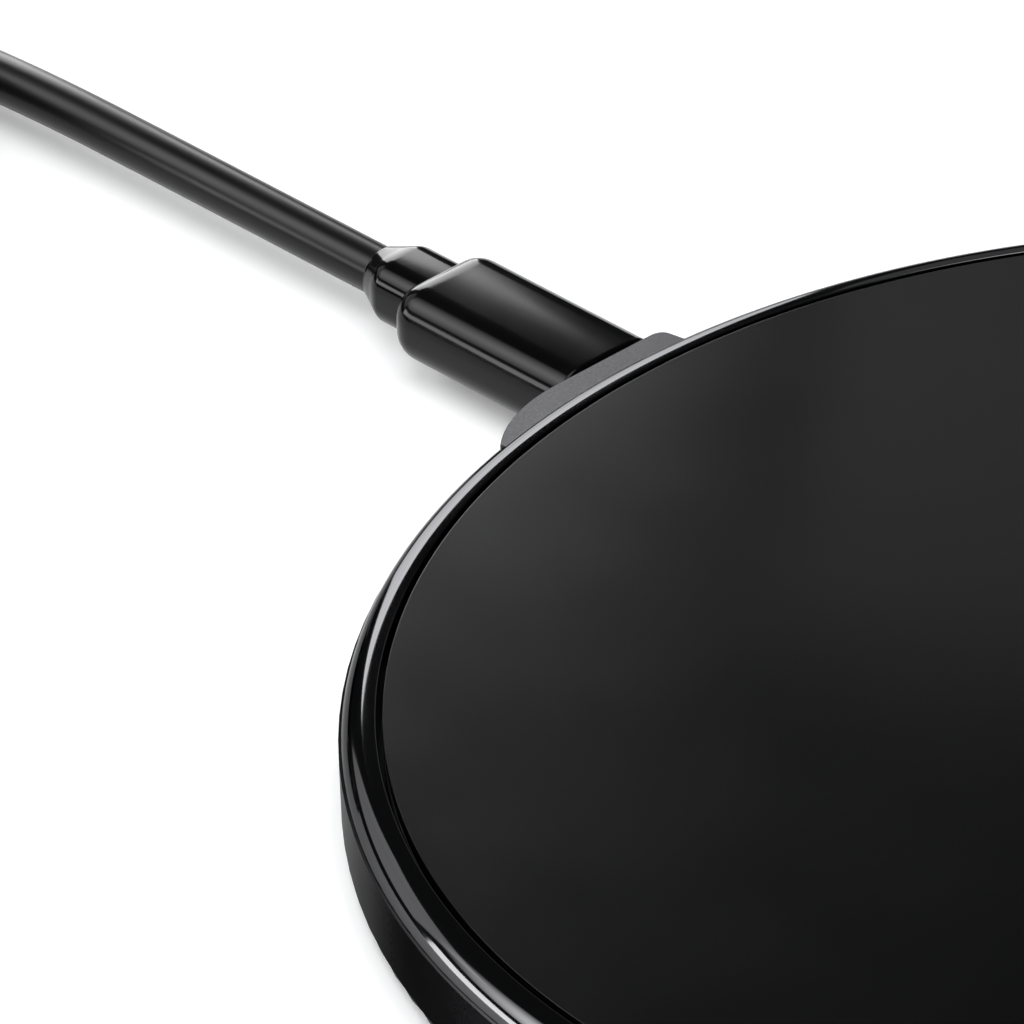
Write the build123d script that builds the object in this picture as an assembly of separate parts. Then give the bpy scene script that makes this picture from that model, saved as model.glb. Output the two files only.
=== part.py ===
from build123d import *
import math
import os

# Wireless charging pad: a slim round disc with an inlaid top panel, a glossy rounded rim ring,
# a lower shell with a port boss, the charging coil and board inside, and a plug-in lead.
# Frame: origin at the centre of the foot's underside, +Z up, +Y out of the port. Millimetres.

# --- Housing ---
PAD_DIAMETER = 115.0
BODY_HEIGHT = 7.0  # from the lower shell's underside to the top of the panel
FOOT_STAND = 0.4  # the foot stands this far below the lower shell
WALL = 1.9
FLOOR = 1.4
BASE_EDGE_ROUND = 0.8
SEAM_BEVEL = 0.12  # bevel on the lower shell's upper outer edge, at the seam

# --- Rim ring and top panel ---
RIM_ROUND = 1.9
RIM_DEPTH = 1.6  # height of the ring seen from the side
RIM_SET_BACK = 0.15  # the ring's widest line stands this far inside the lower shell's wall
RIM_WIDTH = 2.3
RIM_LIP = 1.0  # depth of the lip that locates the ring inside the shell's wall
RIM_LIP_CLEAR = 0.08
RIM_LEDGE = 1.85
LEDGE_THICKNESS = 0.8
EDGE_BREAK = 0.12
PANEL_THICKNESS = 1.0
PANEL_GAP = 0.4
PANEL_EDGE_ROUND = 0.15
ADHESIVE_THICKNESS = 0.15
ADHESIVE_INSET = 0.6
TRAY_THICKNESS = 1.0
TRAY_FLANGE = 0.65
TRAY_CLEAR = 0.2  # inside the rim's ledge

# --- Foot ---
FOOT_RADIUS = 47.5
FOOT_THICKNESS = 0.9
FOOT_EDGE_ROUND = 0.2
FOOT_CLEAR = 0.1

# --- Housing screws ---
SCREW_CIRCLE = 43.0
SCREW_COUNT = 4
SCREW_SHANK = 2.0
SCREW_HEAD = 3.6
SCREW_HEAD_HEIGHT = 0.9
SCREW_GRIP = 3.0
SCREW_POST = 5.2
SCREW_SEAT_STEP = 1.0  # shell left between the screw's head and the tray's post
HEAD_CLEAR = 0.2  # each clearance here is on the radius
SHANK_CLEAR = 0.15
THREAD_FIT = 0.02
PILOT_SPARE = 0.2  # pilot holes run this far past the screw's end
DRIVE_ACROSS = 0.5
DRIVE_DEPTH = 0.45

# --- Coil stack ---
COIL_OUTER = 43.0
COIL_INNER = 20.5
COIL_THICKNESS = 1.15
COIL_TURNS = 10
COIL_SCALLOP = 0.18
FERRITE_DIAMETER = 52.0
FERRITE_THICKNESS = 1.0
TAPE_THICKNESS = 0.15
TAPE_DIAMETER = 50.0
COIL_WALL = 1.0  # locating wall round the ferrite sheet
COIL_WALL_OVERLAP = 0.8  # it rises this far up the ferrite sheet
COIL_WALL_CLEAR = 0.2
COIL_HEADROOM = 0.1  # under the tray
SEAT_RIBS = (8.0, 16.0, 24.0)  # radii of the round ribs under the coil stack
SEAT_RIB_WIDTH = 1.2
SLOT_X = -4.4
SLOT_WIDTH = 3.6
SLOT_REACH = 3.2  # the slot starts this far from the coil's centre
LEAD_DIAMETER = 0.9
INNER_LEAD_X = -5.4
OUTER_LEAD_X = 5.0
LEAD_ON_BOARD = 3.0
LEAD_STEP = 0.6  # clear of the ferrite sheet's edge before it comes down to the board
LEAD_DROP = 1.0  # it is down this far in from the board's edge
SEAT_GAP = 0.03  # air between a lead and the sheet above or below it
THERMISTOR_X = -4.0
THERMISTOR_Y = 5.4
THERMISTOR_DIAMETER = 2.4
THERMISTOR_HEIGHT = 1.0
THERMISTOR_LEAD = 0.8

# --- Main board ---
BOARD_THICKNESS = 0.8
BOARD_STAND = 0.4
BOARD_WIDTH = 50.0
BOARD_GAP = 1.1  # to the coil's locating wall
BOARD_WALL_GAP = 1.4  # to the inside of the shell's wall
BOARD_TONGUE_MARGIN = 0.365  # board beyond each side of the socket
BOARD_SCREW_SHANK = 1.6
BOARD_SCREW_HEAD = 3.0
BOARD_SCREW_HEAD_HEIGHT = 0.7
BOARD_SCREW_GRIP = 1.1
BOARD_SCREW_EDGE = 3.2  # screw centre to the board's edge
BOARD_BOSS = 4.4
BOARD_HOLE_CLEAR = 0.2
BOARD_PILOT_SPARE = 0.05

# --- Components: x, y from the board's middle, width, depth, height and bevel of each ---
CONTROLLER = (-6.0, 0.0, 5.0, 5.0, 0.85, 0.06)
CONTROLLER_MARK = (-7.5, 1.5, 0.6)  # x, y and diameter of its pin-one dimple
POWER_CHIPS = [(1.5, y, 3.6, 3.2, 0.8, 0.06) for y in (-2.6, 2.6)]
RESONANT = [(x, -3.4, 2.5, 3.2, 1.7, 0.15) for x in (8.0, 11.2, 14.4, 17.6)]
INDUCTOR = (-14.0, 0.0, 6.2, 6.2, 1.9, 0.5)
INDUCTOR_ROUND = 0.8
INPUT_CAPACITORS = [(x, 4.2, 1.3, 2.0, 1.2, 0.1) for x in (8.0, 10.2, 12.4)]

# --- Micro socket and plug ---
PLUG_SHELL_WIDTH = 6.85
PLUG_SHELL_HEIGHT = 1.8
PLUG_SHELL_CHAMFER = 0.55
PLUG_SHELL_REACH = 5.2  # beyond the overmold's face
PLUG_SHELL_ROOT = 2.0  # inside the overmold
PLUG_TIP_SETBACK = 0.25  # of the insulator inside the shell's mouth
PLUG_CLEAR = 0.06  # a side, between the plug's shell and the socket's
SHELL_WALL = 0.25
SOCKET_DEPTH = 5.0
SOCKET_GAP = 0.1  # between the socket's mouth and the boss's front wall
TONGUE_WIDTH = 3.7
TONGUE_THICKNESS = 0.45
TONGUE_SETBACK = 0.5
TONGUE_BLOCK = 0.8
TONGUE_CLEAR = 0.1
CONTACT_SETBACK = 0.4  # from the tongue's tip, and from the insulator's
CONTACT_COUNT = 5
CONTACT_PITCH = 0.65
CONTACT_WIDTH = 0.3
CONTACT_THICKNESS = 0.08
CONTACT_GAP = 0.035  # between the plug's contacts and the socket's
PORT_CLEAR = 0.2
SOCKET_HEADROOM = 0.04

# --- Port boss ---
BOSS_STAND = 1.05  # its front stands this far outside the wall
BOSS_WALL = 0.4
BOSS_LONG_WALL = 11.8  # on the -X side, where it runs out along the wall
BOSS_FRONT = 0.9
BOSS_ROUND = 0.8
BOSS_LONG_ROUND = 11.3
LUG_DROP = 0.25  # its inner edge, half-way down the ring's shoulder, under the pad's top
LUG_FALL = 0.13  # its top slopes down this much for each millimetre outwards
POCKET_CLEAR = 0.3

# --- Lead: overmold, neck and cable ---
OVERMOLD_SIDE = 1.075  # wall of the overmold beside the plug's shell
OVERMOLD_HEIGHT = 5.6
OVERMOLD_LENGTH = 16.95
OVERMOLD_ROUND = 2.3
OVERMOLD_END_ROUND = 2.2
OVERMOLD_GAP = 0.15  # between the boss and the overmold when fully in
NECK_WIDTH = 5.6
NECK_HEIGHT = 4.8
NECK_ROUND = 1.8
NECK_LENGTH = 2.8
NECK_TAPER = 2.0
NECK_ROOT = 1.5  # inside the overmold
CABLE_DIAMETER = 3.5
CABLE_ROOT = 1.5  # inside each neck
TAPER_WALL = 0.25  # of the neck round the cable, at its end

# --- Coiled length and its tie: seven and a half turns, two side by side and four high ---
BUNDLE_CENTRE = (-21.0, 150.0)
BUNDLE_COLUMNS = 2
BUNDLE_ROWS = 4
BUNDLE_OUTER_TURN = 21.0  # radius of the outermost turn's centre line
TIE_WIDTH = 5.0
TIE_THICKNESS = 0.7
TIE_ANGLE = -62.0
TIE_SQUEEZE = 0.75  # of its thickness, sunk into the bundle
PLUG_FROM_BUNDLE = 22.0  # from the bundle's centre back to the end of the supply plug's neck

# --- Supply plug: the full-size plug at the lead's far end ---
A_SHELL_WIDTH = 12.0
A_SHELL_HEIGHT = 4.5
A_SHELL_WALL = 0.3
A_SHELL_REACH = 16.0
A_SHELL_ROOT = 3.0
A_WINDOW = 2.2
A_WINDOW_PITCH = 5.4
A_WINDOW_SETBACK = 5.6
A_TONGUE_THICKNESS = 1.9
A_TONGUE_SETBACK = 0.6
A_CONTACT_COUNT = 4
A_CONTACT_PITCH = 2.3
A_CONTACT_WIDTH = 1.0
A_CONTACT_THICKNESS = 0.12
A_CONTACT_LENGTH = 8.0
A_CONTACT_SETBACK = 1.5
A_OVERMOLD_WIDTH = 15.6
A_OVERMOLD_HEIGHT = 7.6
A_OVERMOLD_LENGTH = 19.0
A_OVERMOLD_ROUND = 2.4
A_OVERMOLD_END_ROUND = 1.2
A_NECK_WIDTH = 7.6
A_NECK_HEIGHT = 5.4
A_NECK_ROUND = 2.2
A_NECK_LENGTH = 4.4
A_NECK_TAPER = 2.6

# --- Levels and radii that follow ---
PAD_R = PAD_DIAMETER / 2
Z_BASE = FOOT_STAND
Z_FLOOR = Z_BASE + FLOOR
Z_TOP = Z_BASE + BODY_HEIGHT
Z_SEAM = Z_TOP - RIM_DEPTH
Z_PANEL = Z_TOP - PANEL_THICKNESS
Z_TRAY_TOP = Z_PANEL - ADHESIVE_THICKNESS
Z_TRAY = Z_TRAY_TOP - TRAY_THICKNESS
Z_LEDGE = Z_TRAY_TOP - TRAY_FLANGE
Z_COIL_TOP = Z_TRAY - COIL_HEADROOM
Z_FERRITE_TOP = Z_COIL_TOP - COIL_THICKNESS
Z_FERRITE = Z_FERRITE_TOP - FERRITE_THICKNESS
Z_SEAT = Z_FERRITE - TAPE_THICKNESS
Z_BOARD = Z_FLOOR + BOARD_STAND
Z_BOARD_TOP = Z_BOARD + BOARD_THICKNESS

WALL_INNER = PAD_R - WALL
RIM_OUTER = PAD_R - RIM_SET_BACK
RIM_INNER = RIM_OUTER - RIM_WIDTH
PANEL_R = RIM_INNER - PANEL_GAP
LIP_OUTER = WALL_INNER - RIM_LIP_CLEAR
LEDGE_INNER = RIM_INNER - RIM_LEDGE
COIL_WALL_INNER = FERRITE_DIAMETER / 2 + COIL_WALL_CLEAR
COIL_WALL_OUTER = COIL_WALL_INNER + COIL_WALL

SOCKET_OFFSET = PLUG_CLEAR + SHELL_WALL  # socket's outside from the plug shell's outside
SOCKET_HEIGHT = PLUG_SHELL_HEIGHT + 2 * SOCKET_OFFSET
Z_PORT = Z_BOARD_TOP + SOCKET_HEIGHT / 2
Y_BOSS = PAD_R + BOSS_STAND
Y_SOCKET = Y_BOSS - BOSS_FRONT - SOCKET_GAP
Y_SOCKET_BACK = Y_SOCKET - SOCKET_DEPTH
BOARD_TONGUE = PLUG_SHELL_WIDTH + 2 * SOCKET_OFFSET + 2 * BOARD_TONGUE_MARGIN
POCKET_WIDTH = BOARD_TONGUE + 2 * POCKET_CLEAR
BOSS_LONG_SIDE = POCKET_WIDTH / 2 + BOSS_LONG_WALL
BOSS_SHORT_SIDE = POCKET_WIDTH / 2 + BOSS_WALL

BOARD_INNER_Y = COIL_WALL_OUTER + BOARD_GAP
BOARD_R = WALL_INNER - BOARD_WALL_GAP
BOARD_OUTER_Y = math.sqrt(BOARD_R**2 - (BOARD_WIDTH / 2) ** 2)
BOARD_MID_Y = (BOARD_INNER_Y + BOARD_OUTER_Y) / 2

OVERMOLD_WIDTH = PLUG_SHELL_WIDTH + 2 * OVERMOLD_SIDE
Y_OVERMOLD = Y_BOSS + OVERMOLD_GAP
Y_OVERMOLD_END = Y_OVERMOLD + OVERMOLD_LENGTH
Y_NECK_END = Y_OVERMOLD_END + NECK_LENGTH + NECK_TAPER

# --- Route of the lead, by hand ---
BUNDLE_X, BUNDLE_Y = BUNDLE_CENTRE
BUNDLE_BOTTOM = CABLE_DIAMETER / 2
TAIL_X = BUNDLE_X - BUNDLE_OUTER_TURN
Z_A_PLUG = A_OVERMOLD_HEIGHT / 2
Y_A_NECK_END = BUNDLE_Y - PLUG_FROM_BUNDLE
RUN_POINTS = [
    (0, Y_NECK_END - CABLE_ROOT, Z_PORT),
    (0, 98.5, Z_PORT - 0.01),
    (0, 118.5, Z_PORT - 0.13),
    (0, 136, 2.2),
    (0, BUNDLE_Y, BUNDLE_BOTTOM),
]
TAIL_POINTS = [
    (TAIL_X, BUNDLE_Y, BUNDLE_BOTTOM + CABLE_DIAMETER),
    (TAIL_X, 142, BUNDLE_BOTTOM + CABLE_DIAMETER - 0.25),
    (TAIL_X, 134, Z_A_PLUG),
    (TAIL_X, Y_A_NECK_END - CABLE_ROOT, Z_A_PLUG),
]


def disc(radius, low, high):
    return Pos(0, 0, low) * Cylinder(radius, high - low, align=(Align.CENTER, Align.CENTER, Align.MIN))


def block(x0, x1, y0, y1, z0, z1):
    centre = ((x0 + x1) / 2, (y0 + y1) / 2, (z0 + z1) / 2)
    return Pos(*centre) * Box(x1 - x0, y1 - y0, z1 - z0)


def post(x, y, diameter, low, high):
    return Pos(x, y, 0) * disc(diameter / 2, low, high)


def along_y(sketch, x, z, start, end):
    """Extrude a sketch from start to end along +Y, its own y upwards."""
    plane = Plane(origin=(x, start, z), x_dir=(-1, 0, 0), z_dir=(0, 1, 0))
    return extrude(plane * sketch, end - start)


def on_circle(count, radius, first=45.0):
    angles = [math.radians(first + 360.0 * i / count) for i in range(count)]
    return [(radius * math.cos(a), radius * math.sin(a)) for a in angles]


def plug_outline(offset):
    """Micro plug outline with its two lower corners cut, grown by an offset."""
    half = PLUG_SHELL_WIDTH / 2 + offset
    rise = PLUG_SHELL_HEIGHT / 2 + offset
    cut = PLUG_SHELL_CHAMFER + offset * (2 - math.sqrt(2))
    points = [(-half, rise), (half, rise), (half, cut - rise), (half - cut, -rise)]
    points += [(cut - half, -rise), (-half, cut - rise)]
    return make_face(Polyline(*points, close=True))


def rounded_box(x, z, start, end, size, corner, end_round=0.0):
    """Round-cornered bar along Y; end_round softens its far end."""
    bar = along_y(RectangleRounded(size[0], size[1], corner), x, z, min(start, end), max(start, end))
    if end_round:
        far = bar.faces().filter_by(Axis.Y).sort_by(Axis.Y)[-1 if end > start else 0]
        bar = fillet(far.edges(), end_round)
    return bar


def screw(x, y, shank, grip, head, head_height, seat, up):
    """Pan-head screw with a cross drive; up is -1 for a head below its seat."""
    low, high = sorted((seat, seat + up * head_height))
    body = fillet(post(x, y, head, low, high).edges().sort_by(Axis.Z)[0 if up < 0 else -1], head_height * 0.4)
    low, high = sorted((seat, seat - up * grip))
    body += post(x, y, shank, low, high)
    face = seat + up * head_height
    low, high = sorted((face, face - up * DRIVE_DEPTH))
    reach = head * 0.3
    for half_x, half_y in ((reach, DRIVE_ACROSS / 2), (DRIVE_ACROSS / 2, reach)):
        body -= block(x - half_x, x + half_x, y - half_y, y + half_y, low, high)
    return body


# --- Housing ---


def base_shell():
    """Lower shell: a shallow dish with the port boss, the coil's seat and the screw bosses."""
    shell = disc(PAD_R, Z_BASE, Z_SEAM)
    shell = fillet(shell.edges().sort_by(Axis.Z)[0], BASE_EDGE_ROUND)
    shell = chamfer(shell.edges().sort_by(Axis.Z)[-1], SEAM_BEVEL)
    shell += port_boss()
    shell -= disc(WALL_INNER, Z_FLOOR, Z_TOP)
    shell -= disc(FOOT_RADIUS + FOOT_CLEAR, 0, FOOT_THICKNESS)
    shell += coil_seat()
    for x, y in on_circle(SCREW_COUNT, SCREW_CIRCLE):
        shell += post(x, y, SCREW_POST, Z_FLOOR, post_foot())
        shell -= post(x, y, SCREW_HEAD + 2 * HEAD_CLEAR, 0, screw_seat())
        shell -= post(x, y, SCREW_SHANK + 2 * SHANK_CLEAR, 0, Z_TOP)
    pilot_low = Z_BOARD - BOARD_SCREW_GRIP - BOARD_PILOT_SPARE
    for x, y in board_screw_places():
        shell += post(x, y, BOARD_BOSS, Z_FLOOR, Z_BOARD)
        shell -= post(x, y, BOARD_SCREW_SHANK + 2 * THREAD_FIT, pilot_low, Z_TOP)
    return shell - port_room()


def port_front(low, high):
    """Flat-fronted block at the port; its -X end runs out along the wall."""
    root = Y_BOSS - 2 * BOSS_LONG_ROUND
    front = block(-BOSS_LONG_SIDE, BOSS_SHORT_SIDE, root, Y_BOSS, low, high)
    front = fillet(front.edges().filter_by(Axis.Z).sort_by(Axis.Y)[-2:].sort_by(Axis.X)[0], BOSS_LONG_ROUND)
    return fillet(front.edges().filter_by(Axis.Z).sort_by(Axis.X)[-2:].sort_by(Axis.Y)[-1], BOSS_ROUND)


def port_boss():
    """Boss on the lower shell that the plug's overmold butts against."""
    return port_front(Z_BASE + BASE_EDGE_ROUND, Z_SEAM)


def port_lug():
    """The ring's lug over the boss, sloping down outwards from half-way down its shoulder."""
    inner, high = RIM_OUTER - RIM_ROUND / 2, Z_TOP - LUG_DROP
    outer = inner + (high - Z_SEAM) / LUG_FALL
    lug = port_front(Z_SEAM, high) - disc(RIM_OUTER - RIM_ROUND, Z_SEAM, Z_TOP)
    return lug & Pos(0, 0, (Z_SEAM + high) / 2) * Cone(outer, inner, high - Z_SEAM)


def port_room():
    """Pocket for the board's tongue and the socket, and the hole for the plug's shell."""
    half = POCKET_WIDTH / 2
    room = block(-half, half, WALL_INNER - WALL, Y_BOSS - BOSS_FRONT, Z_FLOOR, socket_roof())
    return room + along_y(plug_outline(PORT_CLEAR), 0, Z_PORT, Y_SOCKET, Y_BOSS + 1)


def socket_roof():
    return Z_PORT + SOCKET_HEIGHT / 2 + SOCKET_HEADROOM


def coil_seat():
    """Ribs that carry the coil stack, and the wall that locates the ferrite sheet."""
    wall_top = Z_FERRITE + COIL_WALL_OVERLAP
    seat = disc(COIL_WALL_OUTER, Z_FLOOR, wall_top) - disc(COIL_WALL_INNER, Z_FLOOR, wall_top)
    half = abs(INNER_LEAD_X) + LEAD_DIAMETER + LEAD_STEP
    seat -= block(-half, half, 0, COIL_WALL_OUTER + 1, Z_FLOOR, wall_top)
    half = SEAT_RIB_WIDTH / 2
    for radius in SEAT_RIBS:
        seat += disc(radius + half, Z_FLOOR, Z_SEAT) - disc(radius - half, Z_FLOOR, Z_SEAT)
    return seat


def screw_seat():
    """Level that the housing screws' heads bear on, above the foot."""
    return FOOT_THICKNESS + FOOT_CLEAR + SCREW_HEAD_HEIGHT


def post_foot():
    """Level where the tray's posts stand on the shell's bosses."""
    return screw_seat() + SCREW_SEAT_STEP


def board_screw_places():
    inner_x = BOARD_WIDTH / 2 - BOARD_SCREW_EDGE
    inner_y = BOARD_INNER_Y + BOARD_SCREW_EDGE
    outer_y = BOARD_OUTER_Y - BOARD_SCREW_EDGE
    return [(side * inner_x, y) for side in (-1, 1) for y in (inner_y, outer_y)]


def foot_pad():
    foot = disc(FOOT_RADIUS, 0, FOOT_THICKNESS)
    return fillet(foot.edges().sort_by(Axis.Z)[0], FOOT_EDGE_ROUND)


def rim_ring():
    """Ring with a rounded shoulder, a locating lip and an inward ledge for the tray."""
    centre_r, centre_z = RIM_OUTER - RIM_ROUND, Z_TOP - RIM_ROUND
    seam_r = centre_r + math.sqrt(RIM_ROUND**2 - (Z_SEAM - centre_z) ** 2)
    half_turn = (math.pi / 2 + math.asin((Z_SEAM - centre_z) / RIM_ROUND)) / 2
    mid = (centre_r + RIM_ROUND * math.cos(half_turn), 0, centre_z + RIM_ROUND * math.sin(half_turn))
    start, end = (centre_r, 0, Z_TOP), (seam_r, 0, Z_SEAM)
    lip_low = Z_LEDGE - LEDGE_THICKNESS
    inside = [
        (seam_r, Z_SEAM),
        (LIP_OUTER, Z_SEAM),
        (LIP_OUTER, Z_SEAM - RIM_LIP),
        (LIP_OUTER - EDGE_BREAK, lip_low),
        (LEDGE_INNER, lip_low),
        (LEDGE_INNER, Z_LEDGE),
        (RIM_INNER, Z_LEDGE),
        (RIM_INNER, Z_TOP - EDGE_BREAK),
        (RIM_INNER + EDGE_BREAK, Z_TOP),
        (centre_r, Z_TOP),
    ]
    if inside[2][1] <= lip_low:
        inside[2:4] = [(LIP_OUTER, lip_low)]
    outline = ThreePointArc(start, mid, end) + Polyline(*[(r, 0, z) for r, z in inside])
    ring = revolve(make_face(outline), Axis.Z) + port_lug()
    half = POCKET_WIDTH / 2
    return ring - block(-half, half, 0, PAD_R, 0, max(Z_LEDGE, socket_roof()))


def top_panel():
    panel = disc(PANEL_R, Z_PANEL, Z_TOP)
    return fillet(panel.edges().sort_by(Axis.Z)[-1], PANEL_EDGE_ROUND)


def panel_adhesive():
    return disc(PANEL_R - ADHESIVE_INSET, Z_TRAY_TOP, Z_PANEL)


def inner_tray():
    """Plate under the panel, notched for the socket; its flange sits on the ledge, its posts take the screws."""
    tray = disc(PANEL_R, Z_LEDGE, Z_TRAY_TOP) + disc(LEDGE_INNER - TRAY_CLEAR, Z_TRAY, Z_TRAY_TOP)
    for x, y in on_circle(SCREW_COUNT, SCREW_CIRCLE):
        tray += post(x, y, SCREW_POST, post_foot(), Z_TRAY)
        tray -= post(x, y, SCREW_SHANK + 2 * THREAD_FIT, 0, screw_seat() + SCREW_GRIP + PILOT_SPARE)
    half = POCKET_WIDTH / 2
    return tray - block(-half, half, Y_SOCKET_BACK - POCKET_CLEAR, LEDGE_INNER, 0, Z_LEDGE)


def housing_screws():
    size = (SCREW_SHANK, SCREW_GRIP, SCREW_HEAD, SCREW_HEAD_HEIGHT, screw_seat(), -1)
    return [screw(x, y, *size) for x, y in on_circle(SCREW_COUNT, SCREW_CIRCLE)]


# --- Coil stack ---


def lead_slot(low, high):
    return block(SLOT_X - SLOT_WIDTH / 2, SLOT_X + SLOT_WIDTH / 2, SLOT_REACH, FERRITE_DIAMETER, low, high)


def coil_tape():
    return disc(TAPE_DIAMETER / 2, Z_SEAT, Z_FERRITE) - lead_slot(Z_SEAT, Z_FERRITE)


def ferrite_sheet():
    return disc(FERRITE_DIAMETER / 2, Z_FERRITE, Z_FERRITE_TOP) - lead_slot(Z_FERRITE, Z_FERRITE_TOP)


def coil():
    """Flat winding: a ring whose top shows its turns as shallow crests."""
    pitch = (COIL_OUTER - COIL_INNER) / 2 / COIL_TURNS
    outline = [Line((COIL_OUTER / 2, 0, Z_COIL_TOP - COIL_SCALLOP), (COIL_OUTER / 2, 0, Z_FERRITE_TOP))]
    outline += [Line((COIL_OUTER / 2, 0, Z_FERRITE_TOP), (COIL_INNER / 2, 0, Z_FERRITE_TOP))]
    outline += [Line((COIL_INNER / 2, 0, Z_FERRITE_TOP), (COIL_INNER / 2, 0, Z_COIL_TOP - COIL_SCALLOP))]
    for turn in range(COIL_TURNS):
        inner = COIL_INNER / 2 + turn * pitch
        valley = Z_COIL_TOP - COIL_SCALLOP
        crest = (inner + pitch / 2, 0, Z_COIL_TOP)
        outline.append(ThreePointArc((inner, 0, valley), crest, (inner + pitch, 0, valley)))
    return revolve(make_face(outline), Axis.Z)


def wire(points, diameter):
    """Round wire along straight runs joined by arcs of the wire's own diameter."""
    path = FilletPolyline(*points, radius=diameter)
    start = Vector(*points[0])
    section = Plane(origin=start, z_dir=Vector(*points[1]) - start) * Circle(diameter / 2)
    return sweep(section, path=path)


def level_lead(x, start, end, diameter):
    """Lead that lies in the ferrite sheet's slot and comes down to the board past its edge."""
    in_slot, on_board = Z_FERRITE + diameter / 2, Z_BOARD_TOP + diameter / 2
    if abs(in_slot - on_board) < SEAT_GAP:
        return along_y(Circle(diameter / 2), x, on_board, start, end)
    step = FERRITE_DIAMETER / 2 + LEAD_STEP
    points = [(x, start, in_slot), (x, step, in_slot)]
    points += [(x, BOARD_INNER_Y + LEAD_DROP, on_board), (x, end, on_board)]
    return wire(points, diameter)


def coil_leads():
    """The winding's two ends, the inner one through the ferrite sheet's slot, on to the board."""
    end_y = BOARD_INNER_Y + LEAD_ON_BOARD
    inner = level_lead(INNER_LEAD_X, COIL_INNER / 2 - LEAD_DIAMETER, end_y, LEAD_DIAMETER)
    outer_y = math.sqrt((COIL_OUTER / 2) ** 2 - OUTER_LEAD_X**2) + LEAD_DIAMETER * 0.4
    above, on_board = Z_FERRITE_TOP + LEAD_DIAMETER / 2 + SEAT_GAP, Z_BOARD_TOP + LEAD_DIAMETER / 2
    outer = [(OUTER_LEAD_X, outer_y, above), (OUTER_LEAD_X, FERRITE_DIAMETER / 2 + LEAD_STEP, above)]
    outer += [(OUTER_LEAD_X, BOARD_INNER_Y + LEAD_DROP, on_board), (OUTER_LEAD_X, end_y, on_board)]
    return [inner, wire(outer, LEAD_DIAMETER)]


def thermistor():
    """Bead on the ferrite sheet inside the coil, its twin lead in the slot to the board."""
    lead = level_lead(THERMISTOR_X, THERMISTOR_Y, BOARD_INNER_Y + LEAD_ON_BOARD, THERMISTOR_LEAD)
    low, high = Z_FERRITE + THERMISTOR_LEAD * 0.75, Z_FERRITE_TOP + THERMISTOR_HEIGHT
    bead = post(THERMISTOR_X, THERMISTOR_Y, THERMISTOR_DIAMETER, low, high)
    return fillet(bead.edges().sort_by(Axis.Z)[-1], THERMISTOR_HEIGHT * 0.3) + lead


# --- Board ---


def main_board():
    board = disc(BOARD_R, Z_BOARD, Z_BOARD_TOP)
    board &= block(-BOARD_WIDTH / 2, BOARD_WIDTH / 2, BOARD_INNER_Y, BOARD_R, Z_BOARD, Z_BOARD_TOP)
    half = BOARD_TONGUE / 2
    board += block(-half, half, BOARD_MID_Y, Y_SOCKET, Z_BOARD, Z_BOARD_TOP)
    for x, y in board_screw_places():
        board -= post(x, y, BOARD_SCREW_SHANK + 2 * BOARD_HOLE_CLEAR, Z_BOARD, Z_BOARD_TOP)
    return board


def board_screws():
    size = (BOARD_SCREW_SHANK, BOARD_SCREW_GRIP + BOARD_THICKNESS, BOARD_SCREW_HEAD)
    size += (BOARD_SCREW_HEAD_HEIGHT, Z_BOARD_TOP, 1)
    return [screw(x, y, *size) for x, y in board_screw_places()]


def chip(x, y, width, depth, height, bevel):
    """Rectangular component standing on the board, its top edges bevelled."""
    body = Pos(x, BOARD_MID_Y + y, Z_BOARD_TOP + height / 2) * Box(width, depth, height)
    return chamfer(body.edges().group_by(Axis.Z)[-1], bevel)


def controller_chip():
    x, y, across = CONTROLLER_MARK
    top = Z_BOARD_TOP + CONTROLLER[4]
    return chip(*CONTROLLER) - post(x, BOARD_MID_Y + y, across, top - 0.05, top + 0.05)


def power_chips():
    return [chip(*place) for place in POWER_CHIPS]


def resonant_capacitors():
    return [chip(*place) for place in RESONANT]


def power_inductor():
    return fillet(chip(*INDUCTOR).edges().filter_by(Axis.Z), INDUCTOR_ROUND)


def input_capacitors():
    return [chip(*place) for place in INPUT_CAPACITORS]


# --- Socket ---


def socket_shell():
    outside = along_y(plug_outline(SOCKET_OFFSET), 0, Z_PORT, Y_SOCKET_BACK, Y_SOCKET)
    return outside - along_y(plug_outline(PLUG_CLEAR), 0, Z_PORT, Y_SOCKET_BACK - 1, Y_SOCKET + 1)


def socket_tongue():
    back = Y_SOCKET_BACK + TONGUE_BLOCK
    block_part = along_y(plug_outline(PLUG_CLEAR), 0, Z_PORT, Y_SOCKET_BACK, back)
    tip = Y_SOCKET - TONGUE_SETBACK
    blade = along_y(Rectangle(TONGUE_WIDTH, TONGUE_THICKNESS), 0, Z_PORT, Y_SOCKET_BACK, tip)
    return block_part + blade


def contact_places(count, pitch):
    return [(i - (count - 1) / 2) * pitch for i in range(count)]


def socket_contacts():
    """Springs under the tongue."""
    high = Z_PORT - TONGUE_THICKNESS / 2
    low = high - CONTACT_THICKNESS
    start, end = Y_SOCKET_BACK + TONGUE_BLOCK, Y_SOCKET - TONGUE_SETBACK - CONTACT_SETBACK
    half = CONTACT_WIDTH / 2
    places = contact_places(CONTACT_COUNT, CONTACT_PITCH)
    return [block(x - half, x + half, start, end, low, high) for x in places]


# --- Lead, socket end ---


def plug_shell():
    tip = Y_OVERMOLD - PLUG_SHELL_REACH
    outside = along_y(plug_outline(0), 0, Z_PORT, tip, Y_OVERMOLD + PLUG_SHELL_ROOT)
    return outside - along_y(plug_outline(-SHELL_WALL), 0, Z_PORT, tip - 1, Y_OVERMOLD + PLUG_SHELL_ROOT + 1)


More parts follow.
